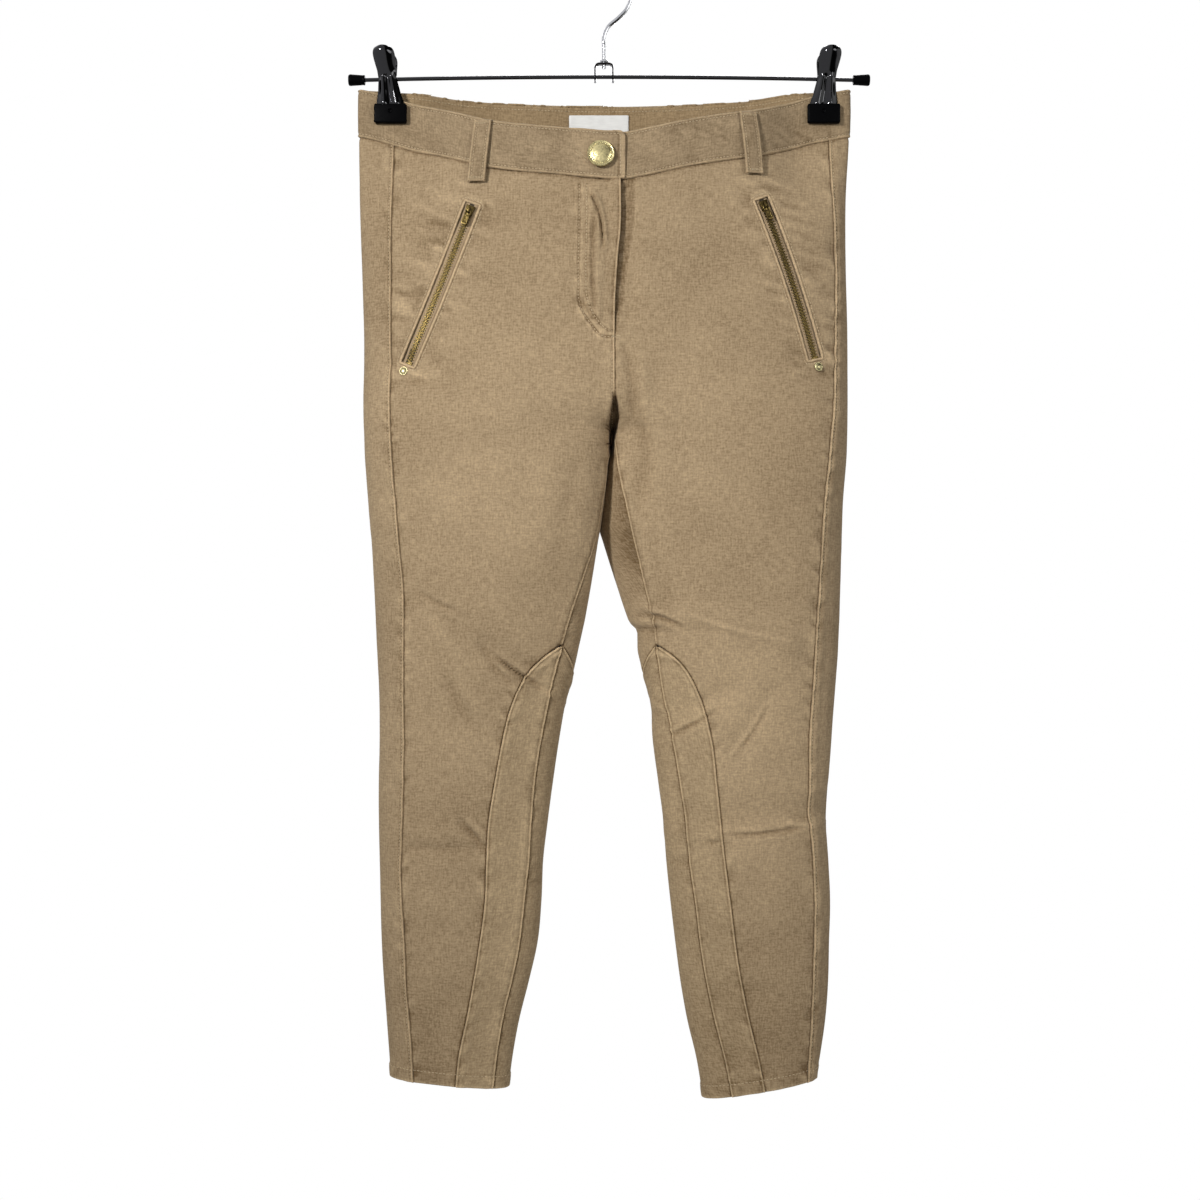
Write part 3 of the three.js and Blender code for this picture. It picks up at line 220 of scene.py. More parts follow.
# Creases laid over them: face, start, middle and end in x and z, width, height (- is a trough).
CREASES = [
    ("front", (24, -562), (42, -563), (64, -572), 1.9, -2.2),
    ("front", (20, -570), (34, -574), (44, -572), 2.0, -1.3),
    ("front", (58, -557), (98, -571), (154, -584), 2.2, 0.8),
    ("front", (44, -665), (69, -656), (96, -639), 1.7, -1.8),
    ("front", (109, -679), (122, -662), (136, -639), 1.8, -0.9),
    ("front", (98, -745), (136, -744), (176, -736), 1.9, -1.5),
    ("front", (150, -730), (166, -738), (186, -731), 2.6, 1.4),
    ("front", (53, -765), (61, -769), (70, -765), 2.4, -1.1),
    ("front", (84, -750), (91, -752), (99, -749), 2.4, -1.1),
    ("front", (38, -640), (46, -645), (55, -642), 2.4, -1.1),
    ("front", (21, -382), (31, -425), (26, -478), 6.0, -2.6),
    ("front", (17, -340), (23, -376), (20, -404), 4.5, -1.4),
    ("front", (33, -470), (42, -520), (52, -556), 6.0, -1.1),
    ("front", (12, -470), (22, -508), (27, -548), 6.0, -1.5),
    ("front", (-101, -588), (-77, -607), (-46, -626), 1.8, -1.8),
    ("front", (-158, -541), (-140, -551), (-122, -560), 2.2, -1.1),
    ("front", (-134, -610), (-122, -634), (-106, -660), 4.6, -1.0),
    ("front", (-150, -560), (-132, -580), (-118, -604), 4.6, 0.8),
    ("front", (-105, -584), (-90, -607), (-76, -620), 1.8, -1.2),
    ("front", (-120, -735), (-111, -744), (-102, -755), 2.4, -1.3),
    ("front", (-65, -784), (-59, -787), (-53, -784), 2.4, -1.0),
    ("front", (-175, -364), (-160, -367), (-142, -373), 3.4, -1.2),
    ("front", (-171, -754), (-138, -757), (-96, -754), 6.0, -1.5),
    ("front", (-14, -211), (-5, -228), (-1.5, -258), 1.25, -3.2),
    ("front", (-8, -226), (-10.5, -268), (-8.5, -316), 1.7, -1.7),
    ("front", (-21, -299), (-16, -308), (-9, -318), 1.8, -1.4),
    ("front", (-1, -238), (-2, -262), (-4, -312), 3.4, 0.6),
    ("front", (-150, -240), (-120, -250), (-92, -236), 12.0, -0.8),
    ("front", (80, -232), (110, -246), (140, -238), 12.0, -0.8),
    ("front", (-30, -395), (-62, -412), (-110, -420), 10.0, -0.9),
    ("front", (-20, -430), (-34, -490), (-46, -560), 9.0, -0.9),
    ("front", (-150, -640), (-120, -650), (-92, -642), 9.0, -0.7),
    ("front", (-165, -815), (-130, -822), (-100, -816), 10.0, -0.7),
    ("front", (100, -830), (130, -836), (165, -828), 10.0, -0.7),
    ("front", (90, -880), (125, -876), (165, -886), 9.0, -0.6),
    ("back", (-40, -404), (-80, -418), (-140, -410), 5.0, -1.6),
    ("back", (-30, -424), (-74, -446), (-120, -450), 4.0, -1.3),
    ("back", (50, -402), (92, -418), (150, -408), 5.0, -1.6),
    ("back", (42, -426), (86, -446), (132, -452), 4.0, -1.3),
    ("back", (-70, -618), (-110, -628), (-165, -620), 4.0, -1.5),
    ("back", (-76, -650), (-118, -648), (-160, -656), 3.4, -1.2),
    ("back", (-80, -684), (-120, -690), (-150, -684), 5.0, -1.0),
    ("back", (66, -622), (110, -630), (152, -620), 4.0, -1.5),
    ("back", (72, -668), (112, -664), (150, -672), 3.4, -1.2),
    ("back", (76, -704), (116, -712), (160, -706), 5.0, -1.0),
    ("back", (-100, -330), (-60, -352), (-20, -366), 12.0, -1.2),
    ("back", (114, -328), (74, -350), (34, -366), 12.0, -1.2),
    ("back", (-150, -800), (-120, -806), (-95, -798), 7.0, -0.9),
    ("back", (100, -808), (125, -814), (155, -804), 7.0, -0.9),
]


# Paler and darker patches on the front, painted light and shade, darkest over the hems: centre, half width
# and height, and how much paler.
PALE_AND_SHADED_PATCHES = [
    (-180, -270, 34, 110, -0.2),
    (-112, -452, 60, 75, 0.28),
    (104, -622, 62, 60, 0.42),
    (126, -748, 50, 55, 0.26),
    (-122, -748, 52, 50, -0.16),
    (-118, -690, 40, 30, 0.12),
    (-10, -270, 70, 60, -0.1),
    (-110, -930, 120, 60, -0.28),
    (110, -930, 120, 60, -0.34),
    (150, -400, 40, 90, -0.08),
]


def column(rows, name, z):
    """Value of one column at heights z, eased smoothly between the rows."""
    z = np.asarray(z, float)
    level, value = rows["z"], rows[name]
    last = len(level) - 1
    i = np.clip(np.searchsorted(-level, -z, side="right") - 1, 0, last - 1)
    before, after = np.maximum(i - 1, 0), np.minimum(i + 2, last)
    span = level[i + 1] - level[i]
    t = np.clip((z - level[i]) / span, 0, 1)
    start = (value[i + 1] - value[before]) / (level[i + 1] - level[before]) * span
    end = (value[after] - value[i]) / (level[after] - level[i]) * span
    t2, t3 = t * t, t * t * t
    return (
        value[i] * (2 * t3 - 3 * t2 + 1)
        + start * (t3 - 2 * t2 + t)
        + value[i + 1] * (3 * t2 - 2 * t3)
        + end * (t3 - t2)
    )


def smooth(t):
    """0 up to 0, 1 from 1 on, and an even slope between them."""
    s = np.clip(t, 0, 1)
    return s * s * (3 - 2 * s)


def bell(d, centre, width):
    """1 at a centre, falling smoothly to 0 away from it."""
    return np.exp(-(((d - centre) / width) ** 2))


def section(side, z):
    """The oval of one half of the garment at a height."""
    outer = column(SECTIONS, "out_" + side, z)
    inner = column(SECTIONS, "in_" + side, z) - np.maximum(column(SECTIONS, "past", z), 0) * outer
    return outer, (outer + inner) / 2, (outer - inner) / 2


def pinch(side, x, z):
    """How firmly a clip holds the cloth flat: 1 under its jaw, 0 away from it."""
    beyond = SIGN[side] * (x - CLIP_X[side])
    off = np.maximum(np.abs(beyond) - JAW_HALF, 0)
    reach = np.where(beyond > 0, PINCH["outward"], PINCH["inward"])
    return bell(off, 0, reach) * (1 - smooth((PINCH["level"] - z) / PINCH["down"]))


def oval(side, z, phi):
    """Points of the oval; phi runs from the inner edge, over the front, to the outer edge at pi."""
    z, phi = np.broadcast_arrays(np.asarray(z, float), np.asarray(phi, float))
    _, middle, half = section(side, z)
    u = -np.cos(phi)
    x = CENTRE_X + SIGN[side] * (middle + half * u)
    front = np.sin(phi) >= 0
    reach = np.where(front, column(SECTIONS, "front", z), column(SECTIONS, "back", z))
    power = column(SECTIONS, "power", z)
    flatness = np.minimum(np.abs(u), 1)
    full = reach * (1 - flatness**power) ** (1 / power)
    flat = GRIP * np.sqrt(1 - flatness ** PINCH["squareness"])
    held = pinch(side, x, z)
    depth = full + (flat - full) * held
    lean = column(SECTIONS, "tip_" + side, z) * ((1 - u) / 2) ** 3
    return np.stack([x, np.where(front, -depth, depth) + lean, z], axis=-1)


def phi_at(side, z, distance, on_back=False):
    """phi of a distance from the centre line."""
    _, middle, half = section(side, z)
    phi = np.arccos(-np.clip((distance - middle) / half, -1, 1))
    return 2 * np.pi - phi if on_back else phi


def dip(side, level, distance, on_back):
    """How far the waist lies under its top at a distance from the centre line."""
    share = np.minimum(np.abs(distance) / section(side, level)[0], 1)
    back = BACK_DIP * (1 - share**BACK_DIP_POWER)
    return np.where(on_back, back, FRONT_DIP * column(WAIST_CURVE, side, -share))


def height_at(side, level, distance, on_back):
    """Height of a point of a row, with the dip of the waist and the slope of the hem."""
    _, middle, half = section(side, level)
    waist = 1 - smooth((WAIST_SEAM - level) / DIP_REACH)
    inward = np.clip((middle + half - distance) / (2 * half), 0, 1)
    hem = 1 - smooth((level - HEM[side]) / HEM_REACH)
    return level - dip(side, level, distance, on_back) * waist - HEM_SLOPE[side] * inward * hem


def band_height_at(side, level, distance, on_back):
    """Height of a point of the waistband, which keeps its full width all round."""
    return level - dip(side, level, distance, on_back)


def fold_height(side, p):
    """The folds of the solids at points."""
    height = np.zeros(p.shape[:-1])
    front = p[..., 1] < 0
    for face, which, x1, z1, x2, z2, width, tall in FOLDS:
        if which != side:
            continue
        dx, dz = x2 - x1, z2 - z1
        t = np.clip(((p[..., 0] - x1) * dx + (p[..., 2] - z1) * dz) / (dx * dx + dz * dz), 0, 1)
        off = np.hypot(p[..., 0] - x1 - t * dx, p[..., 2] - z1 - t * dz)
        height += np.where(front == (face == "front"), tall * bell(off, 0, width), 0)
    return height


def unit(v):
    """Vectors of length 1."""
    return v / np.maximum(np.linalg.norm(v, axis=-1, keepdims=True), 1e-12)


def face(side, level, phi, heights=height_at):
    """Points on the cloth's face and their outward normals, at row levels and phi."""
    level, phi = np.broadcast_arrays(np.asarray(level, float), np.asarray(phi, float))
    rough = oval(side, level, phi)
    z = heights(side, level, SIGN[side] * (rough[..., 0] - CENTRE_X), np.sin(phi) < 0)
    p = oval(side, z, phi)
    e = 0.012
    along = oval(side, z, phi + e) - oval(side, z, phi - e)
    down = oval(side, z - 2, phi) - oval(side, z + 2, phi)
    normal = unit(np.cross(along, down)) * (1 if side == "right" else -1)
    return p + normal * fold_height(side, p)[..., None], normal


def shift(side, z, phi, length):
    """phi moved along the oval by a length, positive towards the outer edge over the front."""
    pieces, turn = 12, 0.004
    at = np.array(phi, float)
    for _ in range(pieces):
        ahead = oval(side, z, at + math.copysign(turn, length))
        speed = np.linalg.norm(ahead - oval(side, z, at), axis=-1) / turn
        at = at + length / pieces / np.maximum(speed, 20)
    return at


def seam_phi(side, level, name):
    """phi of a seam line at row levels."""
    if name in ("side", "fly", "inset"):
        if name == "side":
            d = column(SEAMS, "side_" + side, level)
        elif name == "fly":
            d = column(SEAMS, "fly", level) * SIGN[side]
        else:
            d = column(INSETS, side, level)
        return phi_at(side, height_at(side, level, d, False), d)
    if name == "inseam":
        return phi_at(side, level, column(SEAMS, "inseam_" + side, level))
    if name == "inset_back":
        start = 2 * np.pi + seam_phi(side, level, "inseam")
        at = start.copy()
        around = column(INSETS, "around", level)
        for k in range(len(at)):
            at[k] = shift(side, level[k], start[k], -around[k])
        return at
    return phi_at(side, level, 0.0, True)  # centre back


# ---------------------------------------------------------------- unevenness

KNOTS = 512  # along a length
FACE_KNOTS = 128  # each way over a face


def seed_of(name):
    """A piece's own seed, from its name."""
    return sum(map(ord, name))


def wander(s, seed, pitch):
    """Smooth random values in -1 to 1 along a length, with a knot every pitch."""
    knots = np.random.RandomState(seed).uniform(-1, 1, KNOTS)
    at = np.asarray(s, float) / pitch + KNOTS / 4
    k = np.floor(at).astype(int)
    t = smooth(at - k)
    return knots[k % KNOTS] * (1 - t) + knots[(k + 1) % KNOTS] * t


def rumple(x, z, seed, across, down):
    """Smooth random values in -1 to 1 over a face, with knots across by down apart."""
    size = FACE_KNOTS
    knots = np.random.RandomState(seed).uniform(-1, 1, (size, size))
    a, b = np.asarray(x, float) / across + size / 2, np.asarray(z, float) / down + size / 2
    i, j = np.floor(a).astype(int), np.floor(b).astype(int)
    s, t = smooth(a - i), smooth(b - j)
    i0, j0, i1, j1 = i % size, j % size, (i + 1) % size, (j + 1) % size
    upper = knots[i0, j0] * (1 - s) + knots[i1, j0] * s
    lower = knots[i0, j1] * (1 - s) + knots[i1, j1] * s
    return upper * (1 - t) + lower * t


CREASE_PIECES = 12  # straight pieces that stand for a crease's curve
CREASE_SCALE = 1.35
SOFT_WIDTH = 5
SHARP = {True: 1.55, False: 1.1}  # depth, by being narrower than SOFT_WIDTH


def beside_line(q, line):
    """Signed distance of points from a line of short pieces, and their share of the way along it."""
    pieces = len(line) - 1
    best = np.full(len(q), 1e9)
    side, share = np.zeros(len(q)), np.zeros(len(q))
    for k in range(pieces):
        d = line[k + 1] - line[k]
        r = q - line[k]
        s = np.clip((r @ d) / (d @ d), 0, 1)
        off = r - s[:, None] * d
        far = np.hypot(off[:, 0], off[:, 1])
        cross = d[0] * r[:, 1] - d[1] * r[:, 0]
        better = far < best
        best = np.where(better, far, best)
        side = np.where(better, np.sign(cross), side)
        share = np.where(better, (k + s) / pieces, share)
    return best * side, share


def creases(p, face_name, on_front):
    """Height of the creases and the soft unevenness of the cloth at points, and the painted light and shade
    of the creases.
    """
    x, z = p[..., 0], p[..., 2]
    height, crease_light_and_shade = np.zeros(x.shape), np.zeros(x.shape)
    for n, (where, a, b, c, width, tall) in enumerate(CREASES):
        if where != face_name:
            continue
        a, b, c = np.array(a, float), np.array(b, float), np.array(c, float)
        t = np.linspace(0, 1, CREASE_PIECES + 1)[:, None]
        line = a * (1 - t) * (1 - 2 * t) + 4 * b * t * (1 - t) + c * t * (2 * t - 1)
        low, high = line.min(0) - 4 * width, line.max(0) + 4 * width
        near = on_front & (x > low[0]) & (x < high[0]) & (z > low[1]) & (z < high[1])
        if not near.any():
            continue
        signed, share = beside_line(np.stack([x[near], z[near]], axis=-1), line)
        length = np.linalg.norm(c - a)
        fade = np.sin(np.pi * (0.06 + 0.88 * share)) ** 0.7
        fade *= 0.85 + 0.3 * wander(share * length, 40 + n, 9)
        core = np.exp(-np.abs(signed / width) ** 1.5)
        bank = bell(signed, 2.1 * width, 1.3 * width)
        other = bell(signed, -2.4 * width, 1.5 * width)
        height[near] += SHARP[width < SOFT_WIDTH] * tall * fade * (core - 0.5 * bank - 0.25 * other)
        # painted shade in each crease's trough and painted light on its bank
        crease_light_and_shade[near] += np.sign(tall) * fade * (0.7 * core - 0.3 * bank) * min(2.4 / width, 1)
    seed = 7 if face_name == "front" else 19
    height *= CREASE_SCALE
    height += 0.8 * rumple(x, z, seed, 46, 90) + 0.55 * rumple(x, z, seed + 1, 21, 34)
    height += 0.2 * rumple(x, z, seed + 2, 8, 11)
    return height, crease_light_and_shade


# ---------------------------------------------------------------- meshes

EDGE = np.array([0, 0.4, 0.85, 1.35, 1.9, 2.5, 3.2, 4.2, 5.6, 7.4, 9.4])
SPACING = 2.5


def sizes():
    return bpy.context.scene.jeans_sizes


def colours():
    return bpy.context.scene.jeans_colours


def placed(low, high, spacing, dense=()):
    """Places from low to high, closer together by a factor in each dense range (from, to, factor)."""
    at = np.linspace(low, high, 400)
    weight = np.full(400, 1 / spacing)
    for near, far, factor in dense:
        inside = smooth((at - min(near, far)) / 8 + 1) * (1 - smooth((at - max(near, far)) / 8))
        weight *= 1 + (1 / factor - 1) * inside
    run = np.r_[0, np.cumsum((weight[1:] + weight[:-1]) / 2 * abs(at[1] - at[0]))]
    return at, run


def spread(side, levels, start, end, spacing=SPACING, dense=()):
    """phi of the columns between two edges, with the length across each row from its start."""
    t = np.linspace(0, 1, 161)
    phi = start[:, None] + (end - start)[:, None] * t
    p = oval(side, levels[:, None], phi)
    run = np.concatenate(
        [np.zeros((len(levels), 1)), np.cumsum(np.linalg.norm(np.diff(p, axis=1), axis=-1), axis=1)], axis=1
    )
    total = run[:, -1]
    widest = placed(EDGE[-1], total.max() - EDGE[-1], spacing, dense)[1][-1]
    count = max(int(widest), 3)
    across = np.zeros((len(levels), 2 * len(EDGE) + count - 1))
    out = np.zeros_like(across)
    for r in range(len(levels)):
        edge = EDGE * min(1.0, total[r] / (3 * EDGE[-1]))
        at, cut = placed(edge[-1], total[r] - edge[-1], spacing, dense)
        inner = np.interp(np.linspace(0, cut[-1], count + 1), cut, at)[1:-1]
        across[r] = np.concatenate([edge, inner, (total[r] - edge)[::-1]])
        out[r] = np.interp(across[r], run[r], phi[r])
    return out, across, total


def rows_between(top, bottom, spacing=SPACING, dense=()):
    """Levels from top to bottom, close together at the ends and in the dense ranges."""
    first, last = top - EDGE, (bottom + EDGE)[::-1]
    at, run = placed(last[0], first[-1], spacing, dense)
    count = max(int(run[-1]), 1)
    middle = np.interp(np.linspace(run[-1], 0, count + 1), run, at)[1:-1]
    return np.concatenate([first, middle, last])


def lapped(d, along, seed):
    """Profile of a topstitched edge: folded over the other piece, with puckers."""
    ridge = 0.85 * (1 - smooth((d - 5.5) / 5)) + 0.3 * bell(d, 0.9, 0.8)
    ridge -= 0.45 * bell(d, 2.3, 0.75)
    ridge -= 1.0 * np.clip(1 - d / 0.75, 0, 1) ** 2
    pucker = wander(along, seed, 3.4) + 0.7 * wander(along, seed + 1, 8.0)
    return ridge + 0.22 * pucker * bell(d, 3.5, 5.5) * smooth(d / 1.5)


def tucked(d, along, seed):
    """Profile of the edge that goes under: it dips into the seam."""
    pucker = 0.3 * wander(along, seed, 5.5) + 0.15 * wander(along, seed + 1, 12)
    return -1.5 * bell(d, 0, 1.1) + pucker * bell(d, 0, 6) * smooth(d / 1.5)


def linked(name, data):
    """Object of some data, linked to the scene."""
    thing = bpy.data.objects.new(name, data)
    bpy.context.scene.collection.objects.link(thing)
    return thing


def mesh_object(name, points, faces, material, uv=None, wear=None, smooth_faces=True):
    """Object at the origin from points in millimetres, with outward faces."""
    mesh = bpy.data.meshes.new(name)
    mesh.from_pydata(np.asarray(points, float) * MM, [], [tuple(int(i) for i in f) for f in faces])
    mesh.update()
    if uv is not None:
        layer = mesh.uv_layers.new(name="cloth")
        loops = np.zeros(len(mesh.loops), dtype=np.int32)
        mesh.loops.foreach_get("vertex_index", loops)
        layer.data.foreach_set("uv", (np.asarray(uv)[loops] * MM).astype(np.float32).ravel())
    # the wear attribute holds real wear and painted light and shade
    if wear is not None:
        attribute = mesh.attributes.new("wear", "FLOAT", "POINT")
        attribute.data.foreach_set("value", np.asarray(wear, np.float32).ravel())
    mesh.materials.append(material)
    if smooth_faces:
        mesh.shade_smooth()
    return linked(name, mesh)


def volume(points, faces):
    """Six times the volume inside four-sided faces, negative when they face inwards."""
    p = np.asarray(points)
    total = 0.0
    for f in (faces[:, [0, 1, 2]], faces[:, [0, 2, 3]]):
        a, b, c = p[f[:, 0]], p[f[:, 1]], p[f[:, 2]]
        total += float(np.einsum("ij,ij->i", a, np.cross(b, c)).sum())
    return total


def quads(rows, cols, first=0):
    """Faces of a grid of points that are counted from first."""
    a = first + np.arange(rows * cols).reshape(rows, cols)[:-1, :-1].ravel()
    return np.stack([a, a + cols, a + cols + 1, a + 1], axis=1)


def shell(name, points, normals, thick, material, uv, wear):
    """Closed wall of cloth under a grid of face points."""
    rows, cols = points.shape[:2]
    n = rows * cols
    grid = np.arange(n).reshape(rows, cols)
    face_quads = quads(rows, cols)
    loop = np.concatenate([grid[0, :-1], grid[:-1, -1], grid[-1, :0:-1], grid[:0:-1, 0]])
    after = np.roll(loop, -1)
    rim = np.stack([loop, after, after + n, loop + n], axis=1)
    everything = np.concatenate([face_quads, face_quads[:, ::-1] + n, rim])
    inner = points - normals * thick
    vertices = np.concatenate([points.reshape(-1, 3), inner.reshape(-1, 3)])
    if volume(vertices, everything) < 0:
        everything = everything[:, ::-1]
    coordinates = np.tile(uv.reshape(-1, 2), (2, 1))
    worn_and_shaded = np.concatenate([wear.ravel(), np.zeros(n)])
    return mesh_object(name, vertices, everything, material, coordinates, worn_and_shaded)


def grid_normals(p, like):
    """Normals of a displaced grid, turned to agree with rough ones."""
    along = np.gradient(p, axis=1)
    down = np.gradient(p, axis=0)
    n = unit(np.cross(along, down))
    sign = np.sign((n * like).sum(-1, keepdims=True))
    n = n * np.where(sign == 0, 1, sign)
    weak = (n * like).sum(-1, keepdims=True) < 0.5
    return unit(np.where(weak, like, n))


SURFACES = {}  # finished grids by name, for the stitches


def remember(name, p, n, across, total, lean, levels):
    """Keeps a grid: points, normals, distance across, row totals, lean of both edges and row levels."""
    SURFACES[name] = {"p": p, "n": n, "across": across, "total": total, "lean": lean, "levels": levels}


def finish_piece(thing, name, slot_name, body="root"):
    """Puts a made piece in place of the node of that name, and names it after both."""
    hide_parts(name)
    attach(thing, body)
    thing.name = f"{name}_{slot_name.split('_')[-1]}"
    return thing


# ---------------------------------------------------------------- panels

# How a piece's edge lies on its seam: lapped over the other piece, or tucked under it.
REACH_PAST = {"lapped": 0.35, "tucked": 0.7}


def panel_edges(side, levels, kind):
    """phi of the two edges of a panel at row levels, with how each edge lies."""
    above = levels > CROTCH
    below = levels < INSET_TOP + 1
    between = ~above & ~below

    def pick(*choices):
        out = np.zeros(len(levels))
        for rows, name, turn in choices:
            if rows.any():
                out[rows] = seam_phi(side, levels[rows], name) + turn
        return out

    every = np.ones(len(levels), bool)
    tau = 2 * np.pi
    if kind == "front":
        start = pick((above, "fly", 0), (between, "inseam", 0), (below, "inset", 0))
        end = pick((every, "side", 0))
        lies = [np.where(above, side == "right", between), np.zeros(len(levels), bool)]
    elif kind == "back":
        start = pick((every, "side", 0))
        end = pick((above, "centre", 0), (between, "inseam", tau), (below, "inset_back", 0))
        # the centre-back seam curves under the crotch to the inseam
        under = np.where(above, smooth((CROTCH + 16 - levels) / 16), 0)
        end += under * (pick((every, "inseam", tau)) - end)
        lies = [every, np.where(above, side == "right", False)]
    elif kind == "inset":
        start, end = pick((every, "inseam", 0)), pick((every, "inset", 0))
        lies = [every, every]
    else:
        start, end = pick((every, "inset_back", 0)), pick((every, "inseam", tau))
        lies = [every, np.zeros(len(levels), bool)]
    lies = [np.asarray(one, bool) for one in lies]
    reach = [np.where(one, REACH_PAST["lapped"], REACH_PAST["tucked"]) for one in lies]
    # both kinds reach past the seam line, so one shift moves the edge by its mean reach
    start = shift(side, levels, start, -float(reach[0].mean()))
    end = shift(side, levels, end, float(reach[1].mean()))
    return start, end, lies


def zip_line(side, t):
    """Points in x and z, and directions down and across, on a zip's centre line; t is 0 at the top."""
    top, bottom, bow = ZIPS[side]
    top, bottom = np.array(top), np.array(bottom)
    along = bottom - top
    length = np.linalg.norm(along)
    inward = np.array([-along[1], along[0]]) / length
    if inward[0] * SIGN[side] > 0:
        inward = -inward
    t = np.atleast_1d(np.asarray(t, float))[:, None]
    at = top + along * t + inward * 4 * bow * t * (1 - t)
    down = unit(along + inward * 4 * bow * (1 - 2 * t))
    return at, down, np.stack([-down[:, 1], down[:, 0]], axis=1), length


ZIPS = {
    "right": ((-110.2, -219.5), (-164.7, -353.2), 1.2),
    "left": ((129.8, -214.8), (175.1, -348.6), -2.2),
}
SLOT_HALF = 6.25
HEM_DEEP = 10.5


def seam_wear_and_shade(lies, d):
    """Along an edge: pale wear on the lapped ridge, and painted shade in the tucked groove."""
    pale = 1.0 * bell(d, 0.8, 0.6) - 0.6 * bell(d, 2.3, 0.65)
    # painted shade in and beside the tucked groove
    dark = -1.8 * bell(d, 0.9, 0.9) - 0.12 * bell(d, 0, 4.0)
    return np.where(lies[:, None], pale, dark)


def zip_wear_and_shade(side, p):
    """Height, wear and painted light and shade that the zip pocket's stitched opening gives the front panel.
    """
    t = np.linspace(0, 1, 33)
    at, _, _, _ = zip_line(side, t)
    x, z = p[..., 0], p[..., 2]
    near = (z < -190) & (z > -365) & (np.abs(x - at[:, 0].mean()) < 60)
    height, wear = np.zeros(x.shape), np.zeros(x.shape)
    q = np.stack([x[near], z[near]], axis=-1)
    d = np.linalg.norm(q[:, None] - at[None], axis=-1).min(1) - SLOT_HALF
    d = np.maximum(d, 0)
    bump = 0.35 * (1 - smooth((d - 5) / 4)) - 0.3 * bell(d, 3.2, 1.2)
    across, down = q[:, 0], q[:, 1]
    pulled = rumple(across, down + 0.25 * across, 77, 17, 5.5)
    pulled = pulled * (0.6 + 0.4 * rumple(across, down, 78, 20, 30))
    beside = np.where(SIGN[side] * (across - at[:, 0].mean()) > 0, 24, 12)
    pulled *= bell(d, 5, beside) * smooth((d - 1) / 4)
    height[near] = bump + 1.9 * pulled
    # pale slot edge, painted shade in the stitched groove, and painted light and shade on the pulled wrinkles
    wear[near] = 0.5 * bell(d, 0.9, 1.2) - 0.3 * bell(d, 3.2, 0.9) + 1.1 * pulled
    return height, wear


# Rows and columns that lie closer together, as ranges and a factor, and the spacing elsewhere.
FINENESS = {
    "front": (
        [(-200, -335, 0.6), (-355, -440, 0.8), (-555, -695, 0.5), (-728, -775, 0.5)], [(0, 34, 0.45)], 3.0),
    "back": ([(-390, -460, 0.7), (-600, -720, 0.7)], [], 3.8),
    "inset": ([(-587, -690, 0.6), (-730, -800, 0.6)], [], 2.4),
    "back_inset": ([(-587, -720, 0.8)], [], 3.2),
}

# The two rows that hold the fly's inner edge, as x and z.
FLY_ROWS = [
    [(-15.2, -204), (-15.4, -240), (-15.8, -282), (-15.2, -298), (-12.5, -307), (-8.0, -315.5), (-1.0, -324),
     (4.0, -327), (8.2, -327.3)],
    [(-21.4, -204), (-21.6, -240), (-22.2, -285), (-22.0, -299), (-20.4, -306.5), (-16.7, -314),
     (-11.7, -321), (-3.4, -330.5), (2.5, -331.8), (8.2, -331.5)],
]


def crotch_folds(side, p, d):
    """Height of the fly's stand and of the hollow beside it, by distance from the edge, with painted shadow
    of the fly's edge in the hollow.
    """
    z = p[..., 2]
    down = smooth((z + 332) / 40)
    if side == "left":
        wide = np.interp(z, [-332, -300, -246, -190], [2.0, 8.0, 11.0, 13.5])
        hollow = (1 - smooth((d - wide) / 2.0 + 0.5)) * smooth((z + 334) / 14)
        # the hollow's darkening is painted shadow cast by the fly's edge
        return -0.9 * hollow, -0.62 * hollow
    return 1.7 * bell(d, 0, 10) * down, 0.0 * z


def crotch_hollow(p):
    """How far the cloth is drawn back between the legs, 0 to 1, alike on all panels that meet there."""
    x, y, z = p[..., 0], p[..., 1], p[..., 2]
    right = np.interp(z, [-430, -423, -413, -404, -396, -384], [4.6, 5.6, 6.4, 8.8, 10.6, 8.6])
    left = np.interp(z, [-400, -384], [3.0, 5.6])
    across = smooth((x - left) / 1.3) * (1 - smooth((x - right) / 2.4))
    along = smooth((-376 - z) / 11) * (1 - smooth((-419 - z) / 14))
    return across * along * smooth(-y / 9)


def fly_puckers(p):
    """Ripples along the fly's curved topstitching, with painted shade in the stitched grooves and painted
    light and shade on the ripples.
    """
    x, z = p[..., 0], p[..., 2]
    near = (x > -36) & (x < 16) & (z > -345) & (z < -180)
    q = np.stack([x[near], z[near]], axis=-1)
    height, wear = np.zeros(x.shape), np.zeros(x.shape)
    for row, deep in zip(FLY_ROWS, (0.45, 0.9)):
        line = curve_through(row, 70)
        gap = q[:, None] - line[None]
        d = np.linalg.norm(gap, axis=-1)
        nearest = d.argmin(1)
        d = d.min(1)
        run = nearest * 1.9
        uneven = wander(run, 61 + int(deep * 10), 4.6)
        deep = deep * (1 + 0.9 * smooth((-292 - q[:, 1]) / 12))
        height[near] += deep * (-bell(d, 0, 1.3) + 0.7 * uneven * bell(d, 0, 4.2))
        # painted light and shade on the ripples and painted shade in the groove; below, painted light beside
        # it
        wear[near] += deep * (0.5 * uneven * bell(d, 0, 4.2) - 1.1 * bell(d, 0, 0.9))
        wear[near] += deep * 0.4 * bell(d, 2.3, 1.0)
    return height, wear


def edge_lean(p):
    """Sine of the angle between a grid's rows and each of its side edges."""
    lean = []
    for edge, inner in ((0, 1), (-1, -2)):
        run = unit(np.gradient(p[:, edge], axis=0))
        row = unit(p[:, inner] - p[:, edge])
        lean.append(np.sqrt(np.clip(1 - (run * row).sum(-1) ** 2, 0.15, 1)))
    return lean


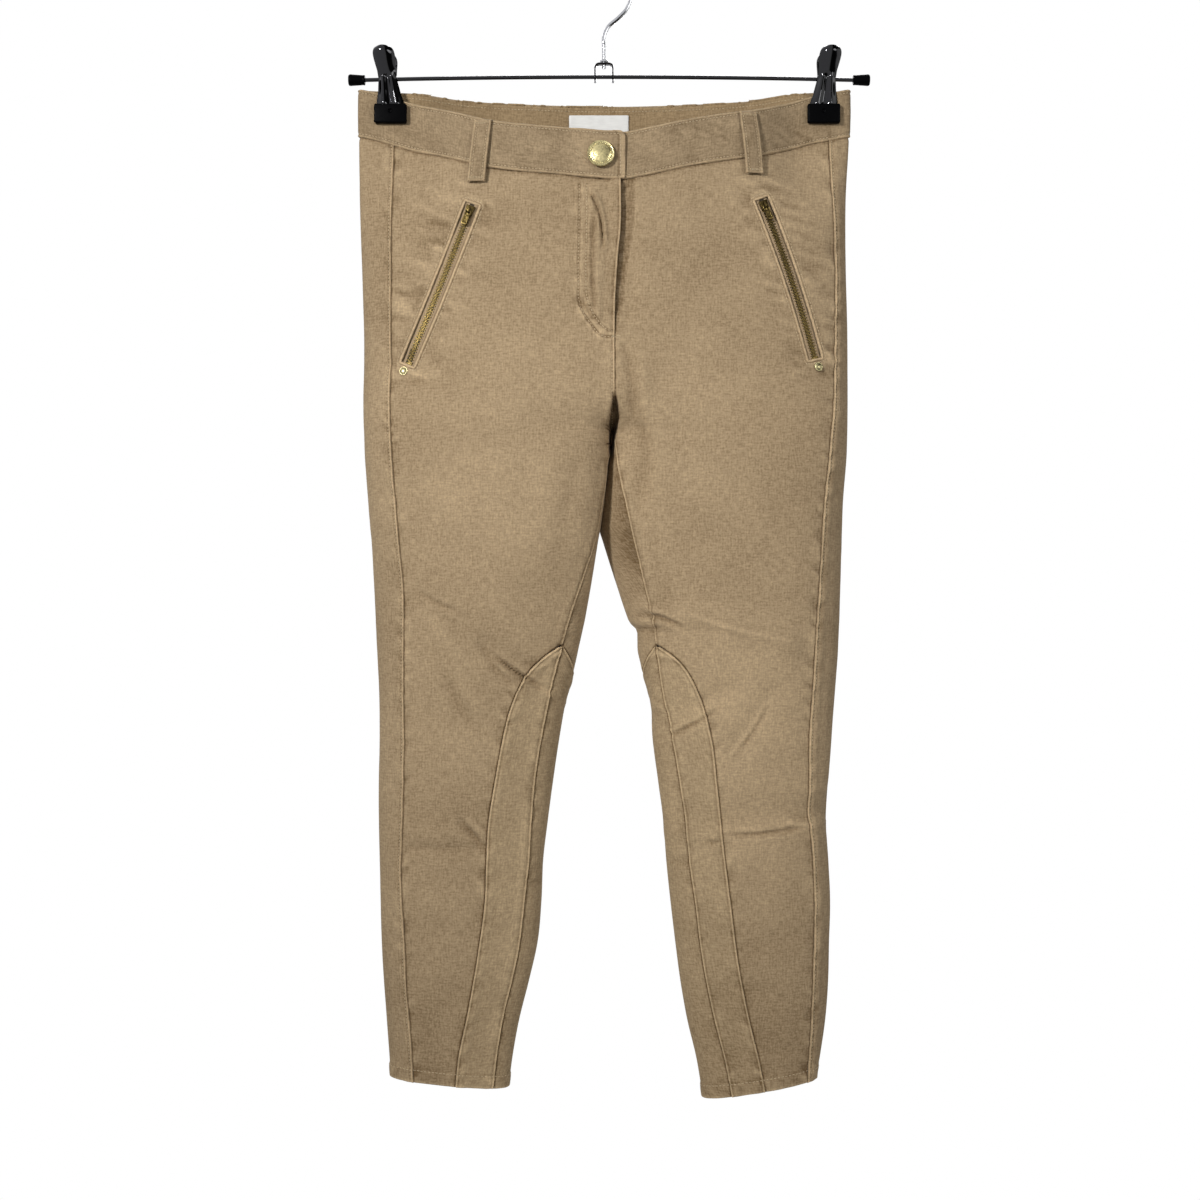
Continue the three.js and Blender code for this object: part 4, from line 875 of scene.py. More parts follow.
def add_hem(side, levels, across, seed, height, wear):
    """The doubled hem with its roping, added to height, wear and painted light and shade."""
    hem = (levels - HEM[side])[:, None]
    folded = 0.75 * (1 - smooth((hem - HEM_DEEP + 0.5) / 2.2))
    roped = wander(across + hem * 0.7, seed + 60, 6.5) * bell(hem, 5, 8)
    height += folded + 0.35 * roped - 1.1 * np.clip(1 - hem / 1.2, 0, 1) ** 2
    height -= 0.35 * bell(hem, HEM_DEEP, 0.9)
    # pale worn fold, painted shade along the groove at the hem's top, and the roping's tone, worn and painted
    # light and shade
    wear = wear + 0.7 * bell(hem, 0.8, 1.3) - 0.35 * bell(hem - HEM_DEEP, 1.2, 1.0)
    wear += 0.3 * roped
    return height, wear


def add_creases(side, p, phi, height, wear):
    """Creases, soft unevenness and the patches, added to height, and as painted light and shade to the wear.
    """
    x, z, on_front = p[..., 0], p[..., 2], p[..., 1] < 0
    front = np.array(creases(p, "front", on_front)) * on_front
    soft, crease_light_and_shade = front + np.array(creases(p, "back", ~on_front)) * ~on_front
    turn = np.minimum(np.abs(np.abs(np.sin(phi))) / 0.35, 1)
    held = pinch(side, x, z)
    height += soft * turn * (1 - 0.85 * held)
    # tone follows the creases and unevenness: painted shade in hollows, painted light on rises
    wear = wear + 0.5 * crease_light_and_shade + 0.06 * np.clip(soft, -2, 2)
    ragged = 1 + 0.25 * rumple(x, z, 88, 19, 24)
    # the patches: painted light and shade
    for x0, z0, wide, tall, paler in PALE_AND_SHADED_PATCHES:
        reach = ((x - x0) / wide) ** 2 + ((z - z0) / tall) ** 2
        wear = wear + paler * np.exp(-reach * ragged) * on_front
    return height, wear


DARKEST_WEAR_AND_SHADE = -1.25  # darkest wear and painted shade
CROTCH_BACK = 15.0  # how far the cloth between the legs is drawn back
# darkness of the painted shade in the gap between the legs
CROTCH_SHADE = 2.4


def make_panel(side, kind, name, material):
    """One panel or inset as a thin closed wall, with its seam edges, hem, folds and creases."""
    full = kind in ("front", "back")
    top = WAIST_SEAM + 0.8 if full else INSET_TOP - 1.4
    rows, columns, spacing = FINENESS[kind]
    levels = rows_between(top, HEM[side], spacing, rows)
    start, end, lies = panel_edges(side, levels, kind)
    phi, across, total = spread(side, levels, start, end, spacing * 0.84, columns)
    p, n = face(side, levels[:, None], phi)
    from_start, from_end = across, total[:, None] - across
    lean = edge_lean(p)
    edges = [d * one[:, None] for d, one in zip((from_start, from_end), lean)]
    along = np.cumsum(np.r_[0, np.linalg.norm(np.diff(p[:, 0], axis=0), axis=-1)])[:, None]
    seed = seed_of(name)
    height = np.zeros(across.shape)
    for d, lie, salt in zip(edges, lies, (0, 31)):
        over, under = lapped(d, along, seed + salt), tucked(d, along, seed + salt + 9)
        height += np.where(lie[:, None], over, under)
    first = seam_wear_and_shade(lies[0], edges[0])
    # the painted shade of the tucked edge is weaker along the fly, above the crotch
    if kind == "front" and side == "left":
        first = first * (1 - 0.7 * smooth((levels + 345) / 12))[:, None]
    wear = first + seam_wear_and_shade(lies[1], edges[1])
    height, wear = add_hem(side, levels, across, seed, height, wear)
    if full:
        waist = (top - levels)[:, None]
        height -= 0.9 * bell(waist, 0, 2.4)
        # painted shade under the waistband's lower edge
        wear = wear - 0.8 * bell(waist, 0, 2.6)
    height, wear = add_creases(side, p, phi, height, wear)
    if kind == "back" and side == "left":
        # painted shadow: the inside of the thigh is darkened where the other leg shades it
        leg_shadow = smooth((-412 - levels) / 20) * (1 - smooth((-levels - 500) / 60))
        wear = wear - 0.75 * leg_shadow[:, None] * smooth(1 - (from_end - 4) / 34)
    if kind == "inset" and side == "right":
        # painted light: the right inset is lightened, most at its inner edge, against the shade where it
        # faces away from the key lamp
        wear = wear + 0.12 + 0.3 * smooth(1 - from_start / 22)
    for d, salt in zip(edges, (3, 23)):
        drawn = wander(along + 0.7 * d, seed + salt, 5.2) * bell(d, 3.5, 4.5)
        drawn *= 0.35 + 0.65 * np.clip(wander(along, seed + salt + 1, 60) + 0.5, 0, 1)
        height += 0.8 * drawn
        # the puckers' tone follows their height: worn, and painted light and shade
        wear = wear + 0.55 * drawn
    if kind == "front":
        bump, pale = zip_wear_and_shade(side, p)
        fold, shade = crotch_folds(side, p, from_start)
        height += bump + fold
        wear = wear + pale + shade
        if side == "right":
            bump, pale = fly_puckers(p)
            height += bump
            wear = wear + pale
    wear = np.maximum(wear, DARKEST_WEAR_AND_SHADE)
    p = p + n * height[..., None]
    drawn = crotch_hollow(p)
    p = p + drawn[..., None] * np.array([0.0, CROTCH_BACK, 0.0])
    # painted shade in the deep gap between the legs
    wear = wear - CROTCH_SHADE * drawn
    n = grid_normals(p, n)
    uv = np.stack([p[..., 0] if kind == "front" else across, p[..., 2]], axis=-1)
    thing = shell(name, p, n, sizes().cloth * 1000, material, uv, wear)
    remember(name, p, n, across, total, lean, levels)
    return thing


def edge_line(name, edge, inset):
    """Points and normals along a panel's start or end edge, a distance in from it."""
    s = SURFACES[name]
    points, normals = [], []
    for r in range(len(s["levels"])):
        k = 0 if edge == "start" else 1
        d = inset / s["lean"][k][r]
        target = d if edge == "start" else s["total"][r] - d
        run = s["across"][r]
        c = int(np.clip(np.searchsorted(run, target) - 1, 0, len(run) - 2))
        t = (target - run[c]) / max(run[c + 1] - run[c], 1e-6)
        points.append(s["p"][r, c] * (1 - t) + s["p"][r, c + 1] * t)
        normals.append(s["n"][r, c] * (1 - t) + s["n"][r, c + 1] * t)
    return np.array(points), unit(np.array(normals))


def row_line(name, level):
    """Points and normals across a panel at a row level."""
    s = SURFACES[name]
    r = int(np.clip(np.searchsorted(-s["levels"], -level) - 1, 0, len(s["levels"]) - 2))
    t = (level - s["levels"][r]) / (s["levels"][r + 1] - s["levels"][r])
    p = s["p"][r] * (1 - t) + s["p"][r + 1] * t
    return p, unit(s["n"][r] * (1 - t) + s["n"][r + 1] * t)


# ---------------------------------------------------------------- stitching

def resample(points, normals, pitch, start=0.0):
    """Centres, directions and normals at a pitch along a line."""
    seg = np.linalg.norm(np.diff(points, axis=0), axis=1)
    run = np.r_[0, np.cumsum(seg)]
    at = np.arange(start + pitch / 2, run[-1] - pitch / 3, pitch)
    if len(at) == 0:
        return np.zeros((0, 3)), np.zeros((0, 3)), np.zeros((0, 3))

    def pick(values, where):
        return np.stack([np.interp(where, run, values[:, k]) for k in range(3)], axis=1)

    e = pitch * 0.3
    centre = pick(points, at)
    direction = unit(pick(points, at + e) - pick(points, at - e))
    normal = pick(normals, at)
    normal = unit(normal - direction * (normal * direction).sum(1, keepdims=True))
    return centre, direction, normal


STITCH_SIDES = 5
STITCH_SHAPE = [(-0.5, 0.0, -0.5), (-0.36, 0.85, 0.1), (0.0, 1.0, 0.35), (0.36, 0.85, 0.1), (0.5, 0.0, -0.5)]


def make_stitches(name, lines, material, thick=0.62, pitch=None):
    """Rows of stitches on lines of points and normals, each stitch a small plump capsule."""
    pitch = pitch or sizes().stitch_pitch * 1000
    rng = np.random.RandomState(seed_of(name))
    vertices, faces = [], []
    for points, normals in lines:
        centre, direction, normal = resample(np.asarray(points), np.asarray(normals), pitch)
        for c, d, n in zip(centre, direction, normal):
            across = np.cross(n, d)
            sway = rng.uniform(-0.07, 0.07)
            straight, aside = math.cos(sway), math.sin(sway)
            d, across = d * straight + across * aside, across * straight - d * aside
            long = pitch * rng.uniform(0.7, 0.8)
            base = len(vertices)
            for k, (s, size, lift) in enumerate(STITCH_SHAPE):
                middle = c + d * s * long + n * lift * thick * 0.5
                if size == 0:
                    vertices.append(middle)
                    continue
                for q in range(STITCH_SIDES):
                    a = 2 * math.pi * q / STITCH_SIDES + 0.3
                    off = across * math.cos(a) + n * 0.8 * math.sin(a)
                    vertices.append(middle + off * thick * 0.5 * size)
            ring = [base + 1 + STITCH_SIDES * k for k in range(3)]
            last = base + 1 + 3 * STITCH_SIDES
            for q in range(STITCH_SIDES):
                w = (q + 1) % STITCH_SIDES
                faces.append((base, ring[0] + w, ring[0] + q))
                for k in range(2):
                    faces.append((ring[k] + q, ring[k] + w, ring[k + 1] + w, ring[k + 1] + q))
                faces.append((last, ring[2] + q, ring[2] + w))
    thing = mesh_object(name, np.array(vertices), faces, material)
    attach(thing, "root")
    return thing


FAR = 200.0  # well outside the garment, front and back


class Drop:
    """Finds the face of a made piece straight in front of or behind a place."""

    def __init__(self, *names):
        points, faces = [], []
        for name in names:
            p = SURFACES[name]["p"]
            rows, cols = p.shape[:2]
            faces.extend(quads(rows, cols, len(points)).tolist())
            points.extend(map(tuple, p.reshape(-1, 3)))
        self.tree = BVHTree.FromPolygons(points, faces)

    def __call__(self, places, behind=False):
        """Points and normals for x and z places; those that miss are left out."""
        sign = -1.0 if behind else 1.0
        points, normals = [], []
        for x, z in places:
            hit, normal, _, _ = self.tree.ray_cast(Vector((x, -FAR * sign, z)), Vector((0, sign, 0)))
            if hit is None:
                continue
            if normal.y * sign > 0:
                normal = -normal
            points.append(tuple(hit))
            normals.append(tuple(normal))
        return np.array(points).reshape(-1, 3), np.array(normals).reshape(-1, 3)


def curve_through(points, count=40):
    """Smooth line through a few places."""
    p = np.array(points, float)
    run = np.r_[0, np.cumsum(np.linalg.norm(np.diff(p, axis=0), axis=1))]
    t = np.linspace(0, run[-1], count)
    m = np.gradient(p, run, axis=0)
    i = np.clip(np.searchsorted(run, t, side="right") - 1, 0, len(p) - 2)
    h = (run[i + 1] - run[i])[:, None]
    s = ((t - run[i])[:, None]) / h
    a = 2 * s**3 - 3 * s**2 + 1
    b = s**3 - 2 * s**2 + s
    return a * p[i] + b * h * m[i] + (1 - a) * p[i + 1] + (s**3 - s**2) * h * m[i + 1]


# ---------------------------------------------------------------- waistband, loops and label

def plain(side, level, distance, on_back):
    """Heights of rows that have no dip or slope."""
    return level


def side_of(x):
    """The half of the garment that a place lies in."""
    return "right" if x < CENTRE_X else "left"


def front_face(x, z, behind=False):
    """Point on the cloth's plain face straight in front of or behind a place, with its normal."""
    side = side_of(x)
    level = np.array([float(z)])
    phi = phi_at(side, level, np.array([SIGN[side] * (x - CENTRE_X)]), behind)
    p, n = face(side, level, phi, plain)
    return p[0], n[0]


def band_profile(d_top, d_bottom, along, seed):
    """Cross shape of the folded band: two stitched ridges and a soft pillow between them."""
    height = 0.45 * np.sin(np.pi * np.clip(d_top / BAND_HEIGHT, 0, 1))
    wear = np.zeros(height.shape)
    for d, salt in ((d_top, 0), (d_bottom, 5)):
        height = height - 1.0 * np.clip(1 - d / 1.1, 0, 1) ** 2
        height += 0.35 * bell(d, 1.3, 0.9) - 0.45 * bell(d, 3.0, 0.9)
        pucker = wander(along, seed + salt, 3.2) + 0.6 * wander(along, seed + salt + 1, 9)
        height += 0.2 * pucker * bell(d, 4, 5) * smooth(d / 1.5)
        # pale worn edge, and painted shade in the stitched groove
        wear += 0.9 * bell(d, 0.7, 1.1) - 0.45 * bell(d, 3.0, 0.8)
    return height, wear


def finish_band(name, p, n, down, along, total, material, ends, extra=0.0):
    """Closed wall of the band from its face grid. ends holds how each end lies."""
    down = down[:, None] + 0 * along
    height, wear = band_profile(down, BAND_HEIGHT - down, along, seed_of(name))
    for d, lie in ((along, ends[0]), (total - along, ends[1])):
        if lie == "folded":
            height = height - 1.0 * np.clip(1 - d / 1.2, 0, 1) ** 2
            height += 0.5 * (1 - smooth((d - 4.2) / 1.4)) - 0.45 * bell(d, 5.6, 0.9)
            # pale worn fold, and painted shade in the stitched groove beside it
            wear = wear + 0.75 * (1 - smooth((d - 3.8) / 1.2)) - 0.7 * bell(d, 5.6, 0.8)
        elif lie == "lapped":
            height = height + lapped(d, down, 90)
            wear = wear + 0.8 * bell(d, 0.9, 1.1)
        elif lie == "tucked":
            height = height + tucked(d, down, 95)
            # painted shade in the tucked end's groove
            wear = wear - bell(d, 0, 2.0)
        elif lie == "under":
            height = height - 0.5 * (1 - smooth(d / 2.5))
    soft = 0.45 * rumple(p[..., 0], p[..., 2] + 0.5 * p[..., 0], 51, 17, 14)
    soft += 0.28 * rumple(p[..., 0], p[..., 2], 52, 7, 8)
    held = np.zeros(soft.shape)
    for side in SIDES:
        held = np.maximum(held, pinch(side, p[..., 0], p[..., 2]) * (np.abs(p[..., 0] - CLIP_X[side]) < 60))
    height = height + (soft + extra) * (1 - 0.9 * held)
    fine = rumple(p[..., 0] + p[..., 2], p[..., 2], 53, 5, 3.2) * rumple(p[..., 0], p[..., 2], 54, 24, 20)
    # tone follows the rumples, painted light and shade; fine is random mottle
    wear = wear + 0.35 * soft + 0.5 * fine
    p = p + n * (BAND_PROUD + height)[..., None]
    n = grid_normals(p, n)
    uv = np.stack([along + 400, -down], axis=-1)
    thing = shell(name, p, n, BAND_WALL - 0.3, material, uv, wear)
    remember(name, p, n, along, np.ravel(total), [np.ones(len(p))] * 2, -down[:, 0])
    return thing


# Spacing of the band's rows and columns.
BAND_FINENESS = {"front": (1.6, 1.9), "back": (1.9, 2.2)}


def make_front_band(side, material):
    """Front half of the band; the right one laps over the left and ends in a rounded corner."""
    name = "waistband_front_" + side
    rows, columns = BAND_FINENESS["front"]
    down = rows_between(0.0, -BAND_HEIGHT, rows) * -1
    levels = WAIST_TOP - down
    end = np.full(len(levels), LAP["end"] if side == "right" else LAP["under"])
    if side == "right":
        corner = np.clip(1 - down / LAP["round"], 0, 1)
        end -= LAP["round"] * (1 - np.sqrt(1 - corner**2)) + 0.8 * np.exp(-((BAND_HEIGHT - down) / 1.5))
    start = phi_at(side, levels - FRONT_DIP, SIGN[side] * (end - CENTRE_X))
    seam = phi_at(side, levels, column(SEAMS, "side_" + side, levels))
    stop = shift(side, levels, seam, REACH_PAST["tucked"])
    phi, across, total = spread(side, levels, start, stop, columns)
    p, n = face(side, levels[:, None], phi, band_height_at)
    rise = 0.0
    if side == "right":
        rise = LAP["lift"] * smooth((p[..., 0] - LAP["lift_from"]) / LAP["lift_over"])
        rise = rise * (1 - 0.6 * down[:, None] / BAND_HEIGHT)
    kinds = ("folded" if side == "right" else "tucked", "under")
    return finish_band(name, p, n, down, across, total[:, None], material, kinds, rise)


def make_back_band(material):
    """Back of the band in one length, from one side seam round both outer edges to the other."""
    rows, columns = BAND_FINENESS["back"]
    down = rows_between(0.0, -BAND_HEIGHT, rows) * -1
    levels = WAIST_TOP - down
    halves = []
    for side in SIDES:
        seam = phi_at(side, levels, column(SEAMS, "side_" + side, levels))
        start = shift(side, levels, seam, -REACH_PAST["lapped"])
        centre = phi_at(side, levels, 0.0, True)
        phi, across, total = spread(side, levels, start, centre, columns)
        p, n = face(side, levels[:, None], phi, band_height_at)
        halves.append((p, n, across, total[:, None]))
    (p1, n1, a1, t1), (p2, n2, a2, t2) = halves
    p = np.concatenate([p1, p2[:, ::-1][:, 1:]], axis=1)
    n = np.concatenate([n1, n2[:, ::-1][:, 1:]], axis=1)
    across = np.concatenate([a1, (t1 + t2 - a2[:, ::-1])[:, 1:]], axis=1)
    return finish_band("waistband_back", p, n, down, across, t1 + t2, material, ("plain", "plain"))


def dip_at(x, behind):
    """The waist's dip at one place."""
    return float(dip(side_of(x), np.array([WAIST_SEAM]), np.array([x - CENTRE_X]), behind)[0])


LOOP_WIDTH = 14.6
LOOP_THICK = 1.6
LOOP_ENDS = {False: (-2.0, 15.0), True: (1.5, 8.0)}  # past the band's edges, by being behind
FRONT_LOOPS = {"right": (-101.4, -106.8), "left": (118.7, 124.0)}
BACK_LOOPS = {"back_right": -155.0, "back_left": 131.0, "centre_back": -9.0}


def cloth_grid(rows, columns, place):
    """Points and normals of a grid, from a function of its row and column values."""
    grid = np.array([[place(r, c) for c in columns] for r in rows])
    return grid[:, :, 0], grid[:, :, 1]


LOOP_CLEAR = {False: 0.9, True: 1.7}  # off the band, by being behind
LOOP_BOW = 1.6


def make_loop(name, x_top, x_bottom, behind, material):
    """Belt loop: a folded strip with two rows of stitching, held off the band in the middle."""
    over, under = LOOP_ENDS[behind]
    z_top = WAIST_TOP - dip_at(x_top, behind) + over
    z_bottom = WAIST_SEAM - dip_at(x_bottom, behind) - under
    length = z_top - z_bottom
    down = rows_between(0.0, -length, 1.1) * -1
    edge = EDGE[:6]
    middle = np.linspace(edge[-1], LOOP_WIDTH - edge[-1], 11)[1:-1]
    across = np.concatenate([edge, middle, LOOP_WIDTH - edge[::-1]])

    def place(d, a):
        t = d / length
        q, m = front_face(x_top + (x_bottom - x_top) * t + a - LOOP_WIDTH / 2, z_top - d, behind)
        return q + m * (BAND_PROUD + LOOP_CLEAR[behind] + LOOP_THICK + LOOP_BOW * math.sin(math.pi * t)), m

    p, n = cloth_grid(down, across, place)
    wide, deep = np.broadcast_arrays(across[None], down[:, None])
    d = down[:, None]
    ends = np.minimum(d, length - d)
    sides = np.minimum(across, LOOP_WIDTH - across)[None]
    seed = seed_of(name)
    height = -0.7 * np.clip(1 - ends / 1.0, 0, 1) ** 2 - 0.7 * np.clip(1 - sides / 1.0, 0, 1) ** 2
    height += 0.28 * bell(sides, 1.2, 0.8) - 0.35 * bell(sides, 2.9, 0.7)
    height += 0.3 * bell(ends, 2.0, 2.2) - 0.3 * bell(ends, 5.0, 0.9)
    height += 0.22 * rumple(wide, deep, seed, 5, 6)
    height -= 0.5 * bell(d - 0.72 * length, 0.2 * across[None], 1.6)
    # pale worn edges and ends, painted shade in the stitched grooves, and random mottle
    wear = 0.8 * bell(sides, 0.9, 1.0) - 0.35 * bell(sides, 2.9, 0.7)
    wear = wear + 0.6 * bell(ends, 0.9, 1.2) + 0.2 * rumple(wide, deep, seed + 1, 4, 5)
    p = p + n * height[..., None]
    n = grid_normals(p, n)
    uv = np.stack([wide + x_top, -deep], axis=-1)
    thing = shell(name, p, n, LOOP_THICK - 0.2, material, uv, wear)
    remember(name, p, n, wide, np.full(len(down), LOOP_WIDTH), [np.ones(len(down))] * 2, -down)
    return thing


LABEL = {"left": -31.0, "right": 20.5, "top": -130.4, "height": 24.0, "thick": 0.5}


def make_label(material):
    """Blank satin label sewn inside the back of the band, slightly cockled."""
    across = np.linspace(LABEL["left"], LABEL["right"], 53)
    down = np.linspace(0, LABEL["height"], 25)

    def place(d, x):
        q, m = front_face(x, LABEL["top"] - d, True)
        return q - m * (BAND_WALL - BAND_PROUD + 0.5), -m

    p, n = cloth_grid(down, across, place)
    x, z = p[..., 0], p[..., 2]
    wave = 0.35 * rumple(x, z, 5, 13, 30) + 0.18 * rumple(x, z, 6, 5, 9)
    edge = np.minimum(x - LABEL["left"], LABEL["right"] - x)
    wave = wave - 0.25 * bell(edge, 0, 0.8)
    p = p + n * (0.35 + wave)[..., None]
    uv = np.stack([x, z], axis=-1)
    return shell("waist_label", p, grid_normals(p, n), LABEL["thick"], material, uv, 0 * x)


# ---------------------------------------------------------------- pocket zips

SLIDER = {"length": 9.0, "width": 7.6, "thick": 2.8, "base": -1.1, "from_top": 7.0}
PULL_HEIGHT = 2.75  # the pull's hinge bar above the cloth
TAPE_DEEP = 0.75  # the tape's face below the cloth's face, in the middle of the slot
TAPE_FALL = 1.0  # how much deeper it lies at the slot's edges


def strip_point(side, t, s, spare):
    """Point and normal on the cloth beside a zip's centre line: share t down it, s across it."""
    at, down, across, _ = zip_line(side, t)
    q = at[0] + across[0] * s + down[0] * spare
    return front_face(q[0], q[1])


TAPE = {"past_ends": 5.0, "width": 22.0, "thick": 0.7, "flat": 4.2}  # flat: half width before it falls


def make_zip_tape(side, material):
    """Tape behind the slot, with a fine ripple, dipping beside the teeth."""
    _, _, _, length = zip_line(side, 0)
    run = np.arange(-TAPE["past_ends"], length + TAPE["past_ends"] + 0.1, 2.0)
    across = np.linspace(-TAPE["width"] / 2, TAPE["width"] / 2, 23)

    def place(d, s):
        t = min(max(d / length, 0), 1)
        q, m = strip_point(side, t, s, d - t * length)
        return q - m * (TAPE_DEEP + TAPE_FALL * smooth((abs(s) - TAPE["flat"]) / 2.2)), m

    p, n = cloth_grid(run, across, place)
    ripple = 0.18 * wander(run, 12, 5)[:, None] * (np.abs(across) > 3)[None]
    p = p + n * ripple[..., None]
    uv = np.stack(np.broadcast_arrays(across[None], -run[:, None]), axis=-1)
    return shell("zip_tape_" + side, p, grid_normals(p, n), TAPE["thick"], material, uv, 0 * ripple)


def join_copies(name, source, frames, material):
    """One object of many copies of a modelled shape, each placed by an origin and three axes."""
    v = np.array([list(x.co) for x in source.data.vertices])
    polygons = [tuple(f.vertices) for f in source.data.polygons]
    vertices, faces = [], []
    for origin, ax, ay, az in frames:
        base = len(vertices)
        vertices.extend(origin + v[:, :1] * ax + v[:, 1:2] * ay + v[:, 2:] * az)
        faces.extend(tuple(i + base for i in f) for f in polygons)
    bpy.data.objects.remove(source, do_unlink=True)
    return mesh_object(name, np.array(vertices), faces, material, smooth_faces=False)


def alone(thing=None):
    """Leaves object mode with nothing but one object selected."""
    if bpy.context.object and bpy.context.object.mode != "OBJECT":
        bpy.ops.object.mode_set(mode="OBJECT")
    bpy.ops.object.select_all(action="DESELECT")
    if thing is not None:
        thing.select_set(True)
        bpy.context.view_layer.objects.active = thing


def edit(thing):
    """Opens one object in edit mode with nothing selected."""
    alone(thing)
    bpy.ops.object.mode_set(mode="EDIT")
    bpy.ops.mesh.select_all(action="DESELECT")
    return bmesh.from_edit_mesh(thing.data)


def done(thing):
    """Writes an edit back and leaves edit mode."""
    bmesh.update_edit_mesh(thing.data)
    bpy.ops.object.mode_set(mode="OBJECT")


MERGE = 0.0005


def close_up(thing, merge=False):
    """Merges doubled points when asked, and turns all faces outwards."""
    edit(thing)
    bpy.ops.mesh.select_all(action="SELECT")
    if merge:
        bpy.ops.mesh.remove_doubles(threshold=MERGE)
    bpy.ops.mesh.normals_make_consistent(inside=False)
    done(thing)


def apply(thing, kind, **settings):
    """Adds a modifier with its settings and applies it."""
    alone(thing)
    modifier = thing.modifiers.new(kind.title(), kind)
    for key, value in settings.items():
        setattr(modifier, key, value)
    bpy.ops.object.modifier_apply(modifier=modifier.name)


def block(size, at=(0, 0, 0), bevel=0.0, segments=2):
    """Box of a size about a place, with its edges rounded."""
    alone()
    bpy.ops.mesh.primitive_cube_add(size=1, location=at, scale=size)
    thing = bpy.context.object
    bpy.ops.object.transform_apply()
    if bevel:
        apply(thing, "BEVEL", width=bevel, segments=segments, limit_method="NONE")
    return thing


def turned(profile, segments):
    """Solid of revolution from radius and height points, spun about Z."""
    alone()
    mesh = bpy.data.meshes.new("profile")
    mesh.from_pydata([(r, 0, h) for r, h in profile], [(k, k + 1) for k in range(len(profile) - 1)], [])
    thing = linked("profile", mesh)
    edit(thing)
    bpy.ops.mesh.select_all(action="SELECT")
    bpy.ops.mesh.spin(steps=segments, angle=2 * math.pi, center=(0, 0, 0), axis=(0, 0, 1))
    done(thing)
    close_up(thing, merge=True)
    return thing


def rod_along(points, radius, resolution, smooth_steps):
    """Round wire through points, made as a bevelled curve and turned into a mesh."""
    alone()
    data = bpy.data.curves.new("wire", "CURVE")
    data.dimensions = "3D"
    data.bevel_depth = radius
    data.bevel_resolution = resolution
    data.use_fill_caps = True
    spline = data.splines.new("NURBS")
    spline.points.add(len(points) - 1)
    for q, c in zip(spline.points, points):
        q.co = (*c, 1)
    spline.order_u = 3
    spline.use_endpoint_u = True
    spline.resolution_u = smooth_steps
    thing = linked("wire", data)
    alone(thing)
    bpy.ops.object.convert(target="MESH")
    thing = bpy.context.object
    close_up(thing, merge=True)
    return thing


def mirrored(half, middle, axis):
    """A path from its first half, its middle point and the axis that it is mirrored on."""
    other = [tuple(-v if k == axis else v for k, v in enumerate(q)) for q in half[::-1]]
    return [*half, middle, *other]


def together(things):
    """Joins modelled objects into the first one."""
    alone(things[0])
    for one in things:
        one.select_set(True)
    bpy.context.view_layer.objects.active = things[0]
    bpy.ops.object.join()
    return bpy.context.object


def settle(thing, name, material, at=None, angle=35):
    """Names a modelled piece, puts it in its place in metres and smooths it by angle."""
    alone(thing)
    bpy.ops.object.transform_apply()
    if at is not None:
        thing.data.transform(at)
    thing.data.transform(Matrix.Scale(MM, 4))
    thing.name = name
    thing.data.name = name
    thing.data.materials.clear()
    thing.data.materials.append(material)
    alone(thing)
    bpy.ops.object.shade_smooth_by_angle(angle=math.radians(angle))
    return thing


def frame_matrix(origin, ax, ay, az):
    """Matrix with an origin and three axes as its columns."""
    m = Matrix.Identity(4)
    for k, v in enumerate((ax, ay, az, origin)):
        for row in range(3):
            m[row][k] = float(v[row])
    return m


def zip_place(side, distance, reach):
    """Point and normal on the cloth at a distance down a zip, and the way to a point a reach further on."""
    _, _, _, length = zip_line(side, 0)
    at, down, _, _ = zip_line(side, distance / length)
    p, n = front_face(*at[0])
    ahead, _ = front_face(*(at[0] + down[0] * reach))
    return p, n, ahead - p


def slider_axes(side):
    """Origin, directions down and across the zip, and normal, at its slider."""
    p, n, along = zip_place(side, SLIDER["from_top"], 5)
    along = unit(along - n * (along @ n))
    return p, along, np.cross(n, along), n


TOOTH = {"size": (0.8, 4.4, 1.6), "off_centre": 0.95, "nib": 0.5, "pitch": 1.2, "sunk": 0.5}


def make_zip_chain(side, material):
    """Interleaved metal teeth: each a bevelled block with a locking nib, set by turns from either tape."""
    tooth = block(TOOTH["size"], (0, TOOTH["off_centre"], 0), 0.22, 1)
    bm = edit(tooth)
    bm.faces.ensure_lookup_table()
    for f in bm.faces:
        f.select = f.normal.y < -0.9
    bpy.ops.mesh.extrude_region_move(TRANSFORM_OT_translate={"value": (0, -TOOTH["nib"], 0)})
    bpy.ops.transform.resize(value=(0.6, 1, 0.6), center_override=(0, -1.7, 0))
    done(tooth)
    _, _, _, length = zip_line(side, 0)
    first = SLIDER["from_top"] + SLIDER["length"] / 2 - 0.6
    frames = []
    for k, d in enumerate(np.arange(first, length - 1.6, TOOTH["pitch"])):
        p, n, along = zip_place(side, d, 3)
        along = unit(along)
        across = unit(np.cross(n, along)) * (1 if k % 2 else -1)
        frames.append((p - n * TOOTH["sunk"], along, across, n))
    return join_copies("zip_chain_" + side, tooth, frames, material)


STOP = {"size": (1.6, 6.2, 1.6), "from_end": 1.2, "sunk": 0.6}


def make_zip_stop(side, material):
    """Square metal stop at the bottom of the teeth."""
    _, _, _, length = zip_line(side, 0)
    p, n, back = zip_place(side, length - STOP["from_end"], -3)
    along = unit(-back)
    thing = block(STOP["size"], bevel=0.3)
    at = frame_matrix(p - n * STOP["sunk"], along, np.cross(n, along), n)
    thing.data.transform(at)
    return settle(thing, "zip_stop_" + side, material)


